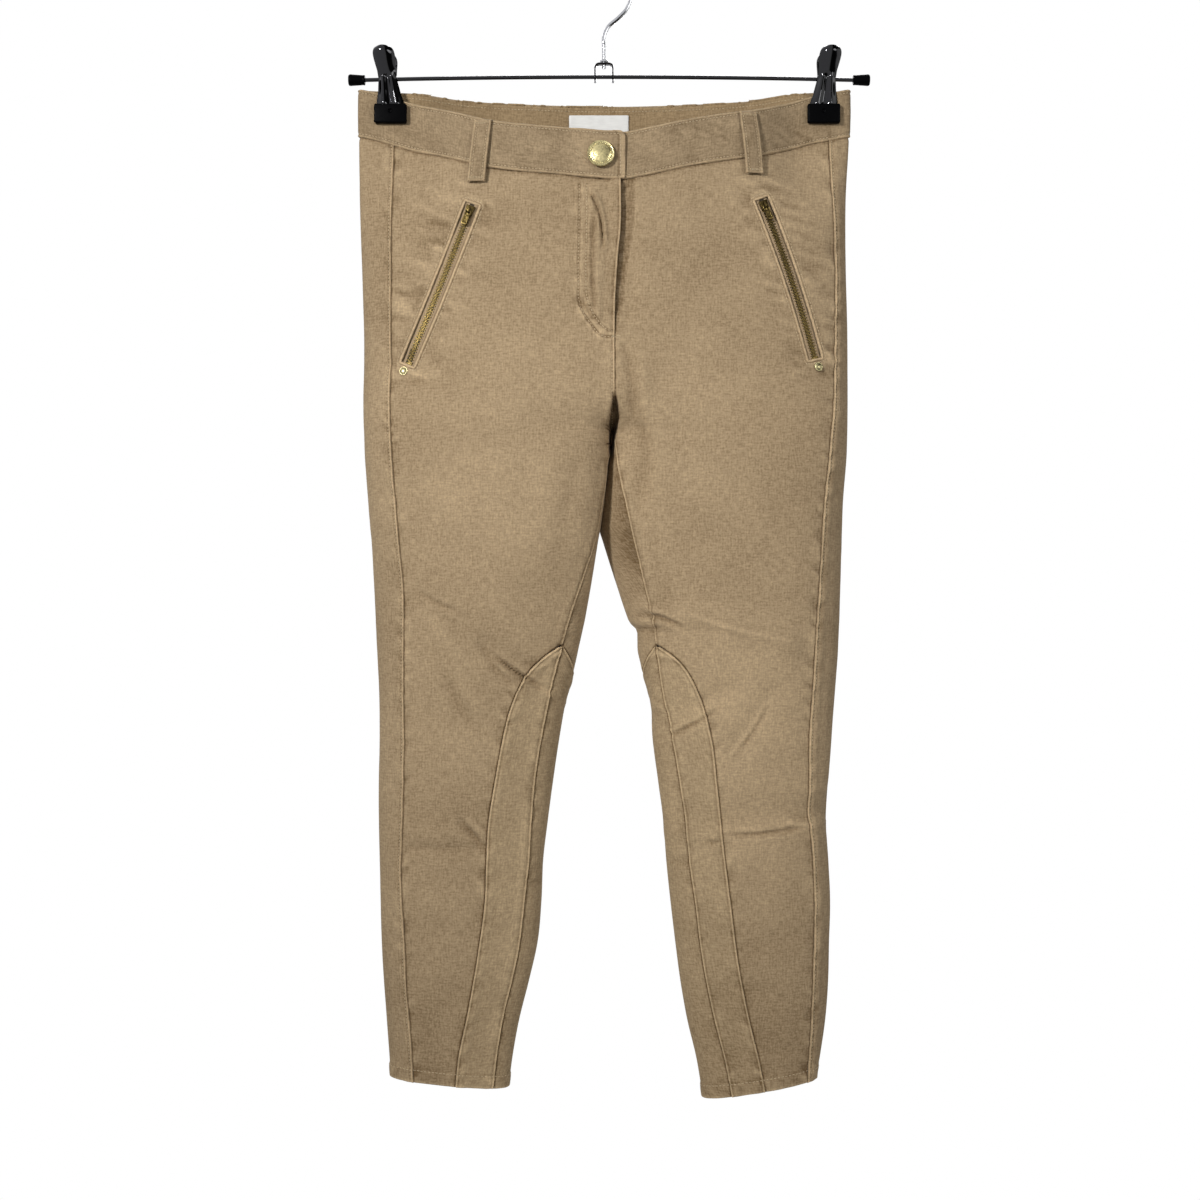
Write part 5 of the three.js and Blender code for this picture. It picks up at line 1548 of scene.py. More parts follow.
def make_slider(side, material):
    """Slider: two waisted plates with a spine, side flanges and the arched bail."""
    length, width, thick, base = (SLIDER[key] for key in ("length", "width", "thick", "base"))
    plate = (length, width, 1.0)
    body = block(plate, (0, 0, base + 0.5), 0.35)
    top = block(plate, (0, 0, base + thick - 0.5), 0.4)
    for half in (body, top):
        bm = edit(half)
        for v in bm.verts:
            if v.co.x > length / 2 - 1.4:
                v.co.y *= 0.74
        done(half)
    spine = block((length * 0.42, 1.5, thick - 0.6), (-length * 0.22, 0, base + thick / 2), 0.3)
    flanges = [
        block((length * 0.7, 0.7, thick - 1.2), (0.6, y, base + thick / 2 - 0.3), 0.2)
        for y in (-width / 2 + 0.8, width / 2 - 0.8)
    ]
    roof = base + thick
    arch = [(-2.2, 0, roof - 0.3), (-2.3, 0, roof + 1.6), (-1.6, 0, roof + 2.6)]
    bail = rod_along(mirrored(arch, (0, 0, roof + 2.75), 0), 0.55, 2, 4)
    bail.data.transform(Matrix.Scale(1.7, 4, (0, 1, 0)))
    thing = together([body, top, spine, *flanges, bail])
    return settle(thing, "zip_slider_" + side, material, frame_matrix(*slider_axes(side)))


PULL = {"long": 8.4, "wide": 5.4, "thick": 1.0, "from": 4.4, "middle": 8.6}  # from the hinge along the tab


def make_pull(side, material):
    """Pull tab lying down the zip: a ring over the bail and a tapered tongue with a raised rim."""
    tongue = block((PULL["long"], PULL["wide"], PULL["thick"]), (PULL["middle"], 0, 0))
    edit(tongue)
    bpy.ops.mesh.select_all(action="SELECT")
    bpy.ops.mesh.subdivide(number_cuts=4)
    bm = bmesh.from_edit_mesh(tongue.data)
    for v in bm.verts:
        t = (v.co.x - PULL["from"]) / PULL["long"]
        v.co.y *= 0.78 + 0.22 * min(t / 0.5, 1)
        if t > 0.7:
            v.co.y *= math.sqrt(max(1 - ((t - 0.7) / 0.42) ** 2, 0.1))
    for f in bm.faces:
        c = f.calc_center_median()
        f.select = f.normal.z > 0.9 and 5.5 < c.x < 11.5 and abs(c.y) < 1.8
    bpy.ops.mesh.inset(thickness=0.35, depth=-0.3)
    done(tongue)
    apply(tongue, "BEVEL", width=0.22, segments=2, limit_method="ANGLE")
    half = [(4.8, -1.9, 0), (3.2, -2.3, 0), (0.9, -2.0, 0), (0.0, -1.3, 0)]
    ring = rod_along(mirrored(half, (0.0, 0, 0), 1), 0.55, 3, 4)
    p, along, across, n = slider_axes(side)
    at = frame_matrix(p + n * PULL_HEIGHT, along, across, n)
    return settle(together([tongue, ring]), "zip_pull_" + side, material, at)


def slot_outline(side):
    """Places round the zip slot's edge, with the direction away from the slot at each."""
    t = np.linspace(0, 1, 90)
    at, down, across, _ = zip_line(side, t)
    one, other = at + across * SLOT_HALF, at - across * SLOT_HALF
    share = np.linspace(0, 1, 11)[1:-1, None]
    foot = one[-1] * (1 - share) + other[-1] * share
    head = other[0] * (1 - share) + one[0] * share
    places = np.concatenate([one, foot, other[::-1], head])
    n = len(share)
    away = np.concatenate([across, np.repeat(down[-1:], n, 0), -across[::-1], np.repeat(-down[:1], n, 0)])
    # each corner of the long sides faces between its side and the end beside it
    last = len(one) - 1
    for corner, beside in ((0, -1), (last, 1), (last + n + 1, -1), (2 * last + n + 1, 1)):
        away[corner] = unit(away[corner] + away[(corner + beside) % len(away)])
    return places, away


# The lip's section: away from the slot, and above the cloth.
LIP = [
    (-0.5, -1.1), (-0.62, -0.3), (-0.3, 0.35), (0.3, 0.62),
    (1.0, 0.6), (1.7, 0.3), (2.3, -0.15), (1.6, -0.9),
]


LIP_PALE = (2, 3, 4)  # the lip's points on its ridge
CUT_DEPTHS = (-85.0, -2.0)  # the cutter's ends, from well in front of the cloth to behind its face


def open_zip_slot(side, thing):
    """Cuts the pocket zip's slot in the front panel and turns its edge over in a rounded lip."""
    places, away = slot_outline(side)
    cloth = thing.data.materials[0]
    n = len(places)
    rows = np.array([(x, y, z) for y in CUT_DEPTHS for x, z in places])
    faces = [(k, (k + 1) % n, n + (k + 1) % n, n + k) for k in range(n)]
    faces += [tuple(range(n))[::-1], tuple(range(n, 2 * n))]
    cutter = mesh_object("cutter", rows, faces, cloth, smooth_faces=False)
    close_up(cutter)
    apply(thing, "BOOLEAN", operation="DIFFERENCE", solver="EXACT", object=cutter)
    bpy.data.objects.remove(cutter, do_unlink=True)
    points, normals = Drop(f"front_{side}")(places + away * 0.5)
    vertices, uv, wear = [], [], []
    for p, m, a in zip(points, normals, away):
        out = np.array([a[0], 0, a[1]])
        out = unit(out - m * (out @ m))
        for k, (s, h) in enumerate(LIP):
            vertices.append(p + out * (s - 0.5) + m * h)
            uv.append((p[0] + s, p[2]))
            # pale ridge, and painted shade on the lip's sides and underside where it turns into the slot
            wear.append(0.9 if k in LIP_PALE else -0.4)
    ring = np.arange(len(vertices)).reshape(len(points), len(LIP))
    onward = np.roll(ring, -1, axis=0)
    corners = (ring, onward, np.roll(onward, -1, axis=1), np.roll(ring, -1, axis=1))
    faces = np.stack([one.ravel() for one in corners], axis=1)
    if volume(np.array(vertices), faces) < 0:
        faces = faces[:, ::-1]
    lip = mesh_object("lip", np.array(vertices), faces, cloth, np.array(uv), np.array(wear))
    return together([thing, lip])


# ---------------------------------------------------------------- button and rivets

BUTTON = {"x": -3.4, "z": -180.4, "radius": 11.3}
RIVETS = {"right": (-167.9, -358.4), "left": (177.3, -355.0)}


def facing(x, z, proud):
    """Matrix of a round piece lying on the front of the cloth, its axis along the normal."""
    p, n = front_face(x, z)
    up = np.array([0.0, 0.0, 1.0])
    az = unit(n)
    ax = unit(np.cross(up, az))
    return frame_matrix(p + n * proud, ax, np.cross(az, ax), az)


BEADS = 36


def make_button(material):
    """Domed jeans button with a rolled rim and a ring of beads."""
    r = BUTTON["radius"]
    body = turned(
        [(0, 0), (r * 0.84, 0), (r * 0.97, 0.5), (r, 1.3), (r * 0.985, 2.1), (r * 0.94, 2.55),
         (r * 0.885, 2.45), (r * 0.85, 2.3), (r * 0.8, 2.4), (r * 0.7, 2.85), (r * 0.66, 3.15),
         (r * 0.6, 3.2), (r * 0.45, 3.6), (r * 0.25, 3.9), (0, 4.05)], 64)
    alone()
    bpy.ops.mesh.primitive_ico_sphere_add(subdivisions=2, radius=0.62, location=(0, 0, 0))
    bead = bpy.context.object
    bead.scale = (1, 1, 0.7)
    bpy.ops.object.transform_apply()
    beads = [bead] + [linked("bead", bead.data.copy()) for _ in range(BEADS - 1)]
    for k, one in enumerate(beads):
        a = 2 * math.pi * k / BEADS
        one.data.transform(Matrix.Translation((r * 0.77 * math.cos(a), r * 0.77 * math.sin(a), 2.6)))
    proud = BAND_PROUD + LAP["lift"] + 0.8
    return settle(together([body, *beads]), "fly_button", material, facing(BUTTON["x"], BUTTON["z"], proud))


def make_rivet(side, material):
    """Pocket rivet: a pressed cap with a turned rim and a raised nipple."""
    thing = turned(
        [(0, 0), (3.4, 0), (3.7, 0.25), (3.7, 0.55), (3.45, 0.75), (3.1, 0.75), (2.8, 1.0), (2.1, 1.45),
         (1.2, 1.75), (0, 1.85)], 32)
    return settle(thing, "pocket_rivet_" + side, material, facing(*RIVETS[side], 0.9))


# ---------------------------------------------------------------- hanger

ROD = {"left": -213.0, "right": 220.0, "z": -104.6, "sag": 2.8, "radius": 1.7}
HOOK_X = -0.8
HOOK = {"radius": 26.0, "wire": 1.7, "from": -22, "to": 198.1}  # radius of its arc, and its ends in degrees


def rod_z(x):
    """Height of the arched rod's middle."""
    half = (ROD["right"] - ROD["left"]) / 2
    return ROD["z"] - ROD["sag"] * ((x - (ROD["left"] + ROD["right"]) / 2) / half) ** 2


def make_rod(material):
    """Steel rod, slightly arched."""
    points = [(x, 0, rod_z(x)) for x in np.linspace(ROD["left"], ROD["right"], 41)]
    return settle(rod_along(points, ROD["radius"], 5, 2), "hanger_rod", material)


def make_rod_cap(side, material):
    """Tapered rubber cap pushed over the rod's end, with a soft rim and a rolled end."""
    end = ROD["left"] if side == "right" else ROD["right"]
    thing = turned(
        [(1.75, -0.2), (3.7, -0.2), (4.2, 0.2), (4.25, 0.9), (4.05, 1.4), (4.15, 2.4), (4.75, 11.2),
         (4.85, 12.2), (4.6, 13.3), (3.9, 13.9), (0, 14.0)], 32)
    turn = Matrix.Rotation(math.radians(-90 if side == "right" else 90), 4, "Y")
    at = Matrix.Translation((end - SIGN[side] * 9, 0, rod_z(end - SIGN[side] * 4.5)))
    return settle(thing, "rod_cap_" + side, material, at @ turn)


def make_hook(material):
    """Hook bent from round wire: a straight stem, an S-bend and an open arc, its end rounded off."""
    stem = [(0, -97.5), (0, -80), (0, -70.5), (3.6, -62), (12, -54.5), (19.4, -46.5)]
    radius, wire = HOOK["radius"], HOOK["wire"]
    arc = [
        (HOOK_X + radius * math.cos(a), wire - radius + radius * math.sin(a))
        for a in np.radians(np.arange(HOOK["from"], HOOK["to"], 11))
    ]
    line = curve_through([(HOOK_X + x, z) for x, z in stem] + arc, 150)
    thing = rod_along([(x, 0, z) for x, z in line], wire, 6, 1)
    x, z = line[-1]
    alone()
    bpy.ops.mesh.primitive_uv_sphere_add(segments=24, ring_count=12, radius=wire, location=(x, 0, z))
    return settle(together([thing, bpy.context.object]), "hook", material, angle=60)


BRACKET = {"half": 7.6, "top": -93.7, "low": -108.6, "half_thick": 1.05, "widened": 4.3}


def make_bracket(material):
    """Flat strip bent into a bracket over the rod, its feet running straight down past it."""
    half, top, low = (BRACKET[key] for key in ("half", "top", "low"))
    side = [(-half, low), (-half, -106), (-half, -100), (-half, top - 3.0), (-half + 0.9, top - 0.9),
            (-half + 3.0, top)]
    path = mirrored(side, (0, top), 0)
    thing = rod_along([(HOOK_X + x, 0, z) for x, z in path], BRACKET["half_thick"], 4, 6)
    thing.data.transform(Matrix.Scale(BRACKET["widened"], 4, (0, 1, 0)))
    return settle(thing, "hook_bracket", material, angle=60)


COLLAR_Z = -92.3


def make_collar(material):
    """Nut that holds the hook's stem on the bracket."""
    thing = turned([(1.75, 0), (3.1, 0), (3.5, 0.5), (3.5, 1.4), (3.0, 2.2), (1.75, 2.4), (1.75, 0)], 6)
    apply(thing, "BEVEL", width=0.18, segments=2, limit_method="ANGLE")
    return settle(thing, "hook_collar", material, Matrix.Translation((HOOK_X, 0, COLLAR_Z)))


LEVER = {
    "foot_z": -136.0,
    "tall": 54.8,
    "rounded_from": 0.85,  # share of the height at which the end starts to round off
    "rounded": (46.58, 8.22),  # height at which it starts above the foot, and how far it rises
    "lean_from": -130.0,
    "half": (
        [-136.0, -130.0, -124.0, -118.0, -107.0, -101.0, -93.0, -89.6],
        [12.0, 11.9, 10.7, 9.2, 7.7, 7.7, 9.0, 9.3]),
    "stand": (
        [-136.0, -129.0, -117.6, -110.0, -105.6, -100.0, -85.2, -80.2],
        [7.0, 7.0, 6.4, 5.0, 4.4, 6.4, 13.0, 13.6]),
    "flutes": 1.25,
    "head": 9.3,
    "head_z": -89.6,
    "wall": 1.4,
    "lean": 5.2,
}


def make_lever(name, x, side_sign, material):
    """Clip lever pressed from sheet: a domed teardrop head, a fluted neck and a foot held by the pad."""
    alone()
    bpy.ops.mesh.primitive_grid_add(x_subdivisions=36, y_subdivisions=70, size=2)
    thing = bpy.context.object
    for v in thing.data.vertices:
        u, t = v.co.x, (v.co.y + 1) / 2
        z = LEVER["foot_z"] + LEVER["tall"] * t
        if t >= LEVER["rounded_from"]:
            start, rise = LEVER["rounded"]
            z = LEVER["foot_z"] + (start + rise * math.sin((t - LEVER["rounded_from"]) / 0.15 * math.pi / 2))
        if z < LEVER["head_z"]:
            half = float(np.interp(z, *LEVER["half"]))
        else:
            rise = min((z - LEVER["head_z"]) / LEVER["head"], 0.995)
            half = LEVER["head"] * (1 - rise**2.6) ** (1 / 2.5)
        stand = float(np.interp(z, *LEVER["stand"])) + LEVER["wall"]
        head = float(smooth((z + 106) / 14))
        dome = (1.5 + 2.6 * head) * (1 - u * u) - 1.4 - 1.8 * head
        if z > LEVER["head_z"]:
            dome -= 2.4 * ((z - LEVER["head_z"]) / LEVER["head"]) ** 2
        neck = float(smooth((z + 133) / 5) * (1 - smooth((z + 108) / 7)))
        flutes = -LEVER["flutes"] * math.cos(2 * math.pi * u) * neck
        low = LEVER["lean_from"]
        lean = math.copysign(LEVER["lean"], x) * max(z - low, 0) / (LEVER["head_z"] - low)
        v.co = (x + lean + u * half, side_sign * (stand + dome + flutes), z)
    apply(thing, "SOLIDIFY", thickness=1.0, offset=-1 if side_sign < 0 else 1)
    close_up(thing)
    return settle(thing, name, material, angle=50)


PAD = {"wide": 27.6, "deep": 5.4, "tall": 16.4, "z": -137.8, "clear": 0.3}
DIMPLE = {"radius": 2.6, "out": 1.5, "z": -136.0}


def make_pad(name, x, side_sign, material):
    """Moulded rubber sleeve over the lever's foot, with softened edges and a round dimple."""
    near = GRIP + BAND_PROUD + PAD["clear"]
    deep = PAD["deep"]
    thing = block((PAD["wide"], deep, PAD["tall"]), (x, side_sign * (near + deep / 2), PAD["z"]), 1.5, 4)
    alone()
    at = (x, side_sign * (near + deep + DIMPLE["out"]), DIMPLE["z"])
    bpy.ops.mesh.primitive_uv_sphere_add(segments=24, ring_count=12, radius=DIMPLE["radius"], location=at)
    ball = bpy.context.object
    apply(thing, "BOOLEAN", operation="DIFFERENCE", solver="EXACT", object=ball)
    bpy.data.objects.remove(ball, do_unlink=True)
    return settle(thing, name, material)


COIL = {"half": 4, "radius": 2.65, "wire": 0.55, "steps": 72, "steps_a_turn": 12}


def make_spring(side, material):
    """Coil of spring wire round the rod, inside the clip."""
    x, steps, radius = CLIP_X[side], COIL["steps"], COIL["radius"]
    turns = []
    for k in range(steps + 1):
        a = k * math.pi / (COIL["steps_a_turn"] / 2)
        along = x - COIL["half"] + 2 * COIL["half"] * k / steps
        turns.append((along, radius * math.cos(a), rod_z(x) + radius * math.sin(a)))
    return settle(rod_along(turns, COIL["wire"], 2, 2), "clip_spring_" + side, material, angle=60)


# ---------------------------------------------------------------- materials

def linear(colour):
    """Linear colour of an sRGB hex value."""
    parts = [int(colour[k : k + 2], 16) / 255 for k in (1, 3, 5)]
    return tuple(c / 12.92 if c <= 0.04045 else ((c + 0.055) / 1.055) ** 2.4 for c in parts)


def tinted(colour, factor):
    """A colour made paler or darker, with its alpha."""
    return (*[min(c * factor, 1.0) for c in colour], 1.0)


def new_material(name, **shader):
    """Material with a Principled shader whose sockets are set from shader."""
    material = bpy.data.materials.new(name)
    material.use_nodes = True
    tree = material.node_tree
    tree.nodes.clear()
    out = tree.nodes.new("ShaderNodeOutputMaterial")
    surface = tree.nodes.new("ShaderNodeBsdfPrincipled")
    tree.links.new(surface.outputs[0], out.inputs["Surface"])
    for key, value in shader.items():
        surface.inputs[key.replace("_", " ")].default_value = value
    return material, tree, surface


def node(tree, kind, settings=None, **inputs):
    """Adds a node: settings are its own, inputs are values or (node, output) links by socket."""
    made = tree.nodes.new("ShaderNode" + kind)
    for key, value in (settings or {}).items():
        setattr(made, key, value)
    for key, value in inputs.items():
        name = key.replace("_", " ")
        target = made.inputs[int(key[1:])] if key[0] == "i" and key[1:].isdigit() else made.inputs[name]
        if isinstance(value, tuple) and len(value) == 2 and hasattr(value[0], "outputs"):
            tree.links.new(value[0].outputs[value[1]], target)
        else:
            target.default_value = value
    return made


def colour_ramp(tree, factor, stops):
    """Colour ramp through stops of a place and a colour, in order."""
    made = node(tree, "ValToRGB", Fac=factor)
    elements = made.color_ramp.elements
    for end, (place, colour) in ((elements[0], stops[0]), (elements[1], stops[-1])):
        end.position, end.color = place, colour
    for place, colour in stops[1:-1]:
        elements.new(place).color = colour
    return made


# Grains of the cloth: name, lowest and highest value, and how far they move the tone either way.
GRAINS = [
    ("yarn", 0.72, 1.28, 0.125),
    ("grain", 0.3, 0.7, 0.085),
    ("clouds", 0.3, 0.7, 0.04),
    ("broad", 0.3, 0.7, 0.035),
]
TWILL_DARK = (0.4, 0.345, 0.27)  # share of each colour left at the darkest tone: where the cloth has kept its dye, and in painted shade
TWILL_PALE = 1.72


def twill_material(name, colour, seed):
    """Cotton and elastane twill, piece dyed and garment washed.

    The wash leaves cloudy pale and dark patches and pale worn seam edges. The wear attribute also carries
    painted light and shade: painted shade in the seam grooves, creases and the gap between the legs, painted
    light on ridges. The slubby yarns leave a fine broken cross-hatch.
    """
    material, tree, surface = new_material(
        name, Roughness=0.88, Sheen_Weight=0.12, Sheen_Roughness=0.5, Sheen_Tint=(1.0, 0.93, 0.82, 1.0),
        Specular_IOR_Level=0.25)
    cloth = node(tree, "UVMap", {"uv_map": "cloth"})
    shifted = node(tree, "Mapping", Vector=(cloth, "UV"), Location=(seed * 0.37, seed * 0.21, 0))

    def noise(place, scale, detail):
        flat = {"noise_dimensions": "2D"}
        return node(tree, "TexNoise", flat, Vector=(place, 0), Scale=scale, Detail=detail)

    # yarns: drawn 1.4 mm apart, three times the real spacing, so that they still show at this size
    warp = noise(node(tree, "Mapping", Vector=(shifted, 0), Scale=(720, 150, 1)), 1.0, 2.0)
    weft = noise(node(tree, "Mapping", Vector=(shifted, 0), Scale=(150, 680, 1)), 1.0, 2.0)
    grains = {
        "yarn": node(tree, "Math", {"operation": "ADD"}, i0=(warp, 0), i1=(weft, 0)),
        "grain": noise(shifted, 600.0, 3.0),
        # clouds: the uneven wash, in patches of a few centimetres and of a hand's width
        "clouds": noise(shifted, 26.0, 3.0),
        "broad": noise(shifted, 7.0, 2.0),
    }
    tones = [
        node(tree, "MapRange", Value=(grains[key], 0), From_Min=low, From_Max=high, To_Min=-tone, To_Max=tone)
        for key, low, high, tone in GRAINS
    ]
    # wear attribute: pale wear, and painted light and shade
    worn_and_shaded = node(tree, "Attribute", {"attribute_name": "wear"})
    edge = node(tree, "MapRange", Value=(worn_and_shaded, "Fac"), From_Min=-1.0, From_Max=1.0, To_Min=-0.42, To_Max=0.3)
    total = tones[0]
    for part in (*tones[1:], edge):
        total = node(tree, "Math", {"operation": "ADD"}, i0=(total, 0), i1=(part, 0))
    share = node(tree, "MapRange", Value=(total, 0), From_Min=-0.5, From_Max=0.5, To_Min=0.0, To_Max=1.0)
    dark = (*[c * left for c, left in zip(colour, TWILL_DARK)], 1)
    stops = [(0.0, dark), (0.5, tinted(colour, 1.0)), (1.0, tinted(colour, TWILL_PALE))]
    shade = colour_ramp(tree, (share, 0), stops)
    tree.links.new(shade.outputs["Color"], surface.inputs["Base Color"])
    relief = node(
        tree, "Math", {"operation": "MULTIPLY_ADD"}, i0=(grains["grain"], 0), i1=0.6, i2=(grains["yarn"], 0))
    bump = node(tree, "Bump", Strength=0.35, Distance=0.0004, Height=(relief, 0))
    tree.links.new(bump.outputs["Normal"], surface.inputs["Normal"])
    return material


def speckled(name, colour, scale, contrast, bump_depth, stretch=(1, 1, 1), **shader):
    """Material whose colour and relief vary with one grain on the piece's own place."""
    material, tree, surface = new_material(name, **shader)
    place = node(tree, "TexCoord")
    stretched = node(tree, "Mapping", Vector=(place, "Object"), Scale=stretch)
    grain = node(tree, "TexNoise", Vector=(stretched, 0), Scale=scale, Detail=4.0, Roughness=0.6)
    stops = [(0.3, tinted(colour, 1 - contrast)), (0.7, tinted(colour, 1 + contrast))]
    shade = colour_ramp(tree, (grain, 0), stops)
    tree.links.new(shade.outputs["Color"], surface.inputs["Base Color"])
    bump = node(tree, "Bump", Strength=0.5, Distance=bump_depth, Height=(grain, 0))
    tree.links.new(bump.outputs["Normal"], surface.inputs["Normal"])
    gloss = surface.inputs["Roughness"].default_value
    rough = node(
        tree, "MapRange", Value=(grain, 0), From_Min=0.3, From_Max=0.7, To_Min=gloss * 0.8,
        To_Max=gloss * 1.25)
    tree.links.new(rough.outputs[0], surface.inputs["Roughness"])
    return material

def make_materials():
    """All the finishes, by a short name."""
    c = colours()
    cloths = ("cloth", "inside", "inset", "thread", "tape", "label")
    shade = {name: tuple(getattr(c, name)) for name in cloths}
    made = {
        "twill": twill_material("washed_cotton_twill", shade["cloth"], 1),
        "band": twill_material("washed_cotton_twill_band", tinted(shade["cloth"], 0.83)[:3], 5),
        "inside": twill_material("cotton_twill_inner_band", shade["inside"], 9),
        "inset": twill_material("washed_cotton_twill_inset", shade["inset"], 13),
    }
    # spun polyester sewing thread: a shade lighter than the cloth, with a slight lustre
    made["thread"] = speckled(
        "polyester_sewing_thread", shade["thread"], 2500, 0.22, 0.0001, Roughness=0.6, Sheen_Weight=0.2)
    # woven polyester zip tape: pale greyish tan, with fine ribs along it
    made["tape"] = speckled(
        "woven_polyester_zip_tape", shade["tape"], 900, 0.2, 0.0002, stretch=(1, 1, 0.25), Roughness=0.8,
        Sheen_Weight=0.1)
    # the two cords of the tape that the teeth are clamped on: painted dark, as the shade under the teeth
    made["cord"] = speckled(
        "oiled_zip_cord", linear("#372B1B"), 900, 0.3, 0.0002, stretch=(1, 1, 0.25), Roughness=0.8)
    # woven polyester satin: white, with long fine floats that shine softly
    made["satin"] = speckled(
        "white_polyester_satin", shade["label"], 700, 0.05, 0.00008, stretch=(0.15, 1, 1), Roughness=0.42,
        Sheen_Weight=0.3, Anisotropic=0.4)
    # antique brass on zinc: dark olive brown, worn bright at random
    made["antique"] = speckled(
        "antique_brass_plate", tuple(c.brass), 900, 0.6, 0.00005, Roughness=0.34, Metallic=1.0)
    # the same plate on the teeth: rubbed brighter by the slider
    made["teeth"] = speckled(
        "rubbed_brass_teeth", tinted(tuple(c.brass), 1.5)[:3], 1100, 0.5, 0.00005, Roughness=0.4,
        Metallic=1.0)
    # pale polished brass of the button and rivets, with a fine hammered relief
    made["brass"] = speckled(
        "polished_brass_button", tuple(c.button), 700, 0.25, 0.00025, Roughness=0.3, Metallic=1.0)
    # brass of the rivets: handled dull, hardly hammered
    made["rivet"] = speckled(
        "dull_brass_rivet", linear("#A89F78"), 700, 0.2, 0.00006, Roughness=0.36, Metallic=1.0)
    # black nickel on pressed and drawn steel: nearly black, glossy, with sharp highlights
    made["steel"] = speckled(
        "black_nickel_steel", tuple(c.steel), 400, 0.25, 0.00002, Roughness=0.13, Metallic=1.0,
        Coat_Weight=0.9, Coat_Roughness=0.06)
    # chrome on steel wire: bright, with a faint haze
    made["chrome"] = speckled(
        "chrome_plated_steel", linear("#C9CACC"), 500, 0.08, 0.00001, Roughness=0.12, Metallic=1.0)
    # moulded black rubber: matt, faintly grainy
    made["rubber"] = speckled(
        "moulded_black_rubber", tuple(c.rubber), 1200, 0.25, 0.00012, Roughness=0.4, Specular_IOR_Level=0.03)
    return made


MATERIALS = {}


def material(name):
    """A finish by its short name; all are made at the first call."""
    if not MATERIALS:
        MATERIALS.update(make_materials())
    return MATERIALS[name]


# ---------------------------------------------------------------- rows of stitches

def part_of(line, low=-2000.0, high=2000.0):
    """The part of a line between two heights."""
    points, normals = line
    keep = (points[:, 2] > low) & (points[:, 2] < high)
    return points[keep], normals[keep]


def without_ends(line, start, end=None):
    """A line shortened at its ends."""
    points, normals = line
    run = np.r_[0, np.cumsum(np.linalg.norm(np.diff(points, axis=0), axis=1))]
    keep = (run > start) & (run < run[-1] - (start if end is None else end))
    return points[keep], normals[keep]


def inner_line(name, level, deep):
    """A line on the inner face of a band."""
    points, normals = row_line(name, level)
    return points - normals * deep, -normals


def zigzag(start, end, width, turns):
    """Places of a bar tack's zigzag."""
    start, end = np.array(start, float), np.array(end, float)
    run = unit(end - start)
    side = np.array([-run[1], run[0]])
    sway = side * width / 2
    return [tuple(start + (end - start) * k / turns + sway * (1 if k % 2 else -1)) for k in range(turns + 1)]


def stitch_rows():
    """All rows of stitches: name, lines, thickness and pitch."""
    low = -(BAND_HEIGHT - 3.0)
    band = []
    for side in SIDES:
        name = "waistband_front_" + side
        band += [without_ends(row_line(name, row), 4.4, 0.5) for row in (-3.0, low)]
    start = edge_line("waistband_front_right", "start", 4.4)
    band.append((start[0][6:-6], start[1][6:-6]))
    band += [row_line("waistband_back", row) for row in (-3.0, low)]
    inner = [inner_line("waistband_back", -4.2, BAND_WALL - 0.3)]
    loops, bars = [], []
    for name in [n for n in SURFACES if n.startswith("belt_loop")]:
        length = -SURFACES[name]["levels"][-1]
        for edge in ("start", "end"):
            loops.append(without_ends(edge_line(name, edge, 2.9), 3.5))
        for row in (2.6, 3.4, length - 3.4, length - 2.6):
            bars.append(without_ends(row_line(name, -row), 1.2))
    seams, hems = [], []
    for side in SIDES:
        seams.append(edge_line("back_" + side, "start", 2.3))
        for kind in ("front_", "back_", "front_inset_", "back_inset_"):
            hems.append(without_ends(row_line(kind + side, HEM[side] + HEM_DEEP), 0.4))
    seams.append(part_of(edge_line("front_right", "start", 2.4), CROTCH - 2, -342))
    seams.append(part_of(edge_line("back_right", "end", 2.3), CROTCH + 14, 0))
    yield "stitching_waistband", band, 0.6, None
    yield "stitching_band_inside", inner, 0.6, None
    yield "stitching_belt_loops", loops, 0.55, 2.6
    yield "stitching_belt_loop_bars", bars, 0.7, 1.3
    yield "stitching_seams", seams, 0.6, None
    yield "stitching_hems", hems, 0.6, 3.2
    for side in SIDES:
        places, away = slot_outline(side)
        loop = np.concatenate([places + away * 3.1, (places + away * 3.1)[:1]])
        yield "stitching_zip_" + side, [Drop("front_" + side)(loop)], 0.58, 2.7
    fly = Drop("front_right", "front_left")
    yield "stitching_fly", [fly(curve_through(row, 60)) for row in FLY_ROWS], 0.6, 2.8
    yield "stitching_bar_tack", [fly(zigzag((5.5, -331.5), (12.5, -331.8), 2.2, 14))], 0.5, 1.1
    hole = Drop("waistband_front_right")
    cuts = [zigzag((-24.5, -177.0 + s), (-13.5, -184.5 + s), 1.6, 20) for s in (0.9, -1.9)]
    yield "stitching_buttonhole", [hole(cut) for cut in cuts], 0.5, 0.9


# ---------------------------------------------------------------- settings

class JeansSizes(bpy.types.PropertyGroup):
    cloth: FloatProperty(
        name="Cloth", description="Thickness of the twill", default=0.0013, min=0.0006, max=0.002,
        precision=4, unit="LENGTH")
    stitch_pitch: FloatProperty(
        name="Stitch pitch", description="Length of one stitch with its gap", default=0.0029, min=0.0015,
        max=0.006, precision=4, unit="LENGTH")
    stitch_width: FloatProperty(
        name="Stitch width", description="Width of a topstitch compared with its usual size", default=1.0,
        min=0.5, max=2.0)


def colour_property(name, description, value):
    """Colour setting whose default is an sRGB hex value."""
    return FloatVectorProperty(
        name=name, description=description, default=linear(value), subtype="COLOR", size=3, min=0.0, max=1.0)


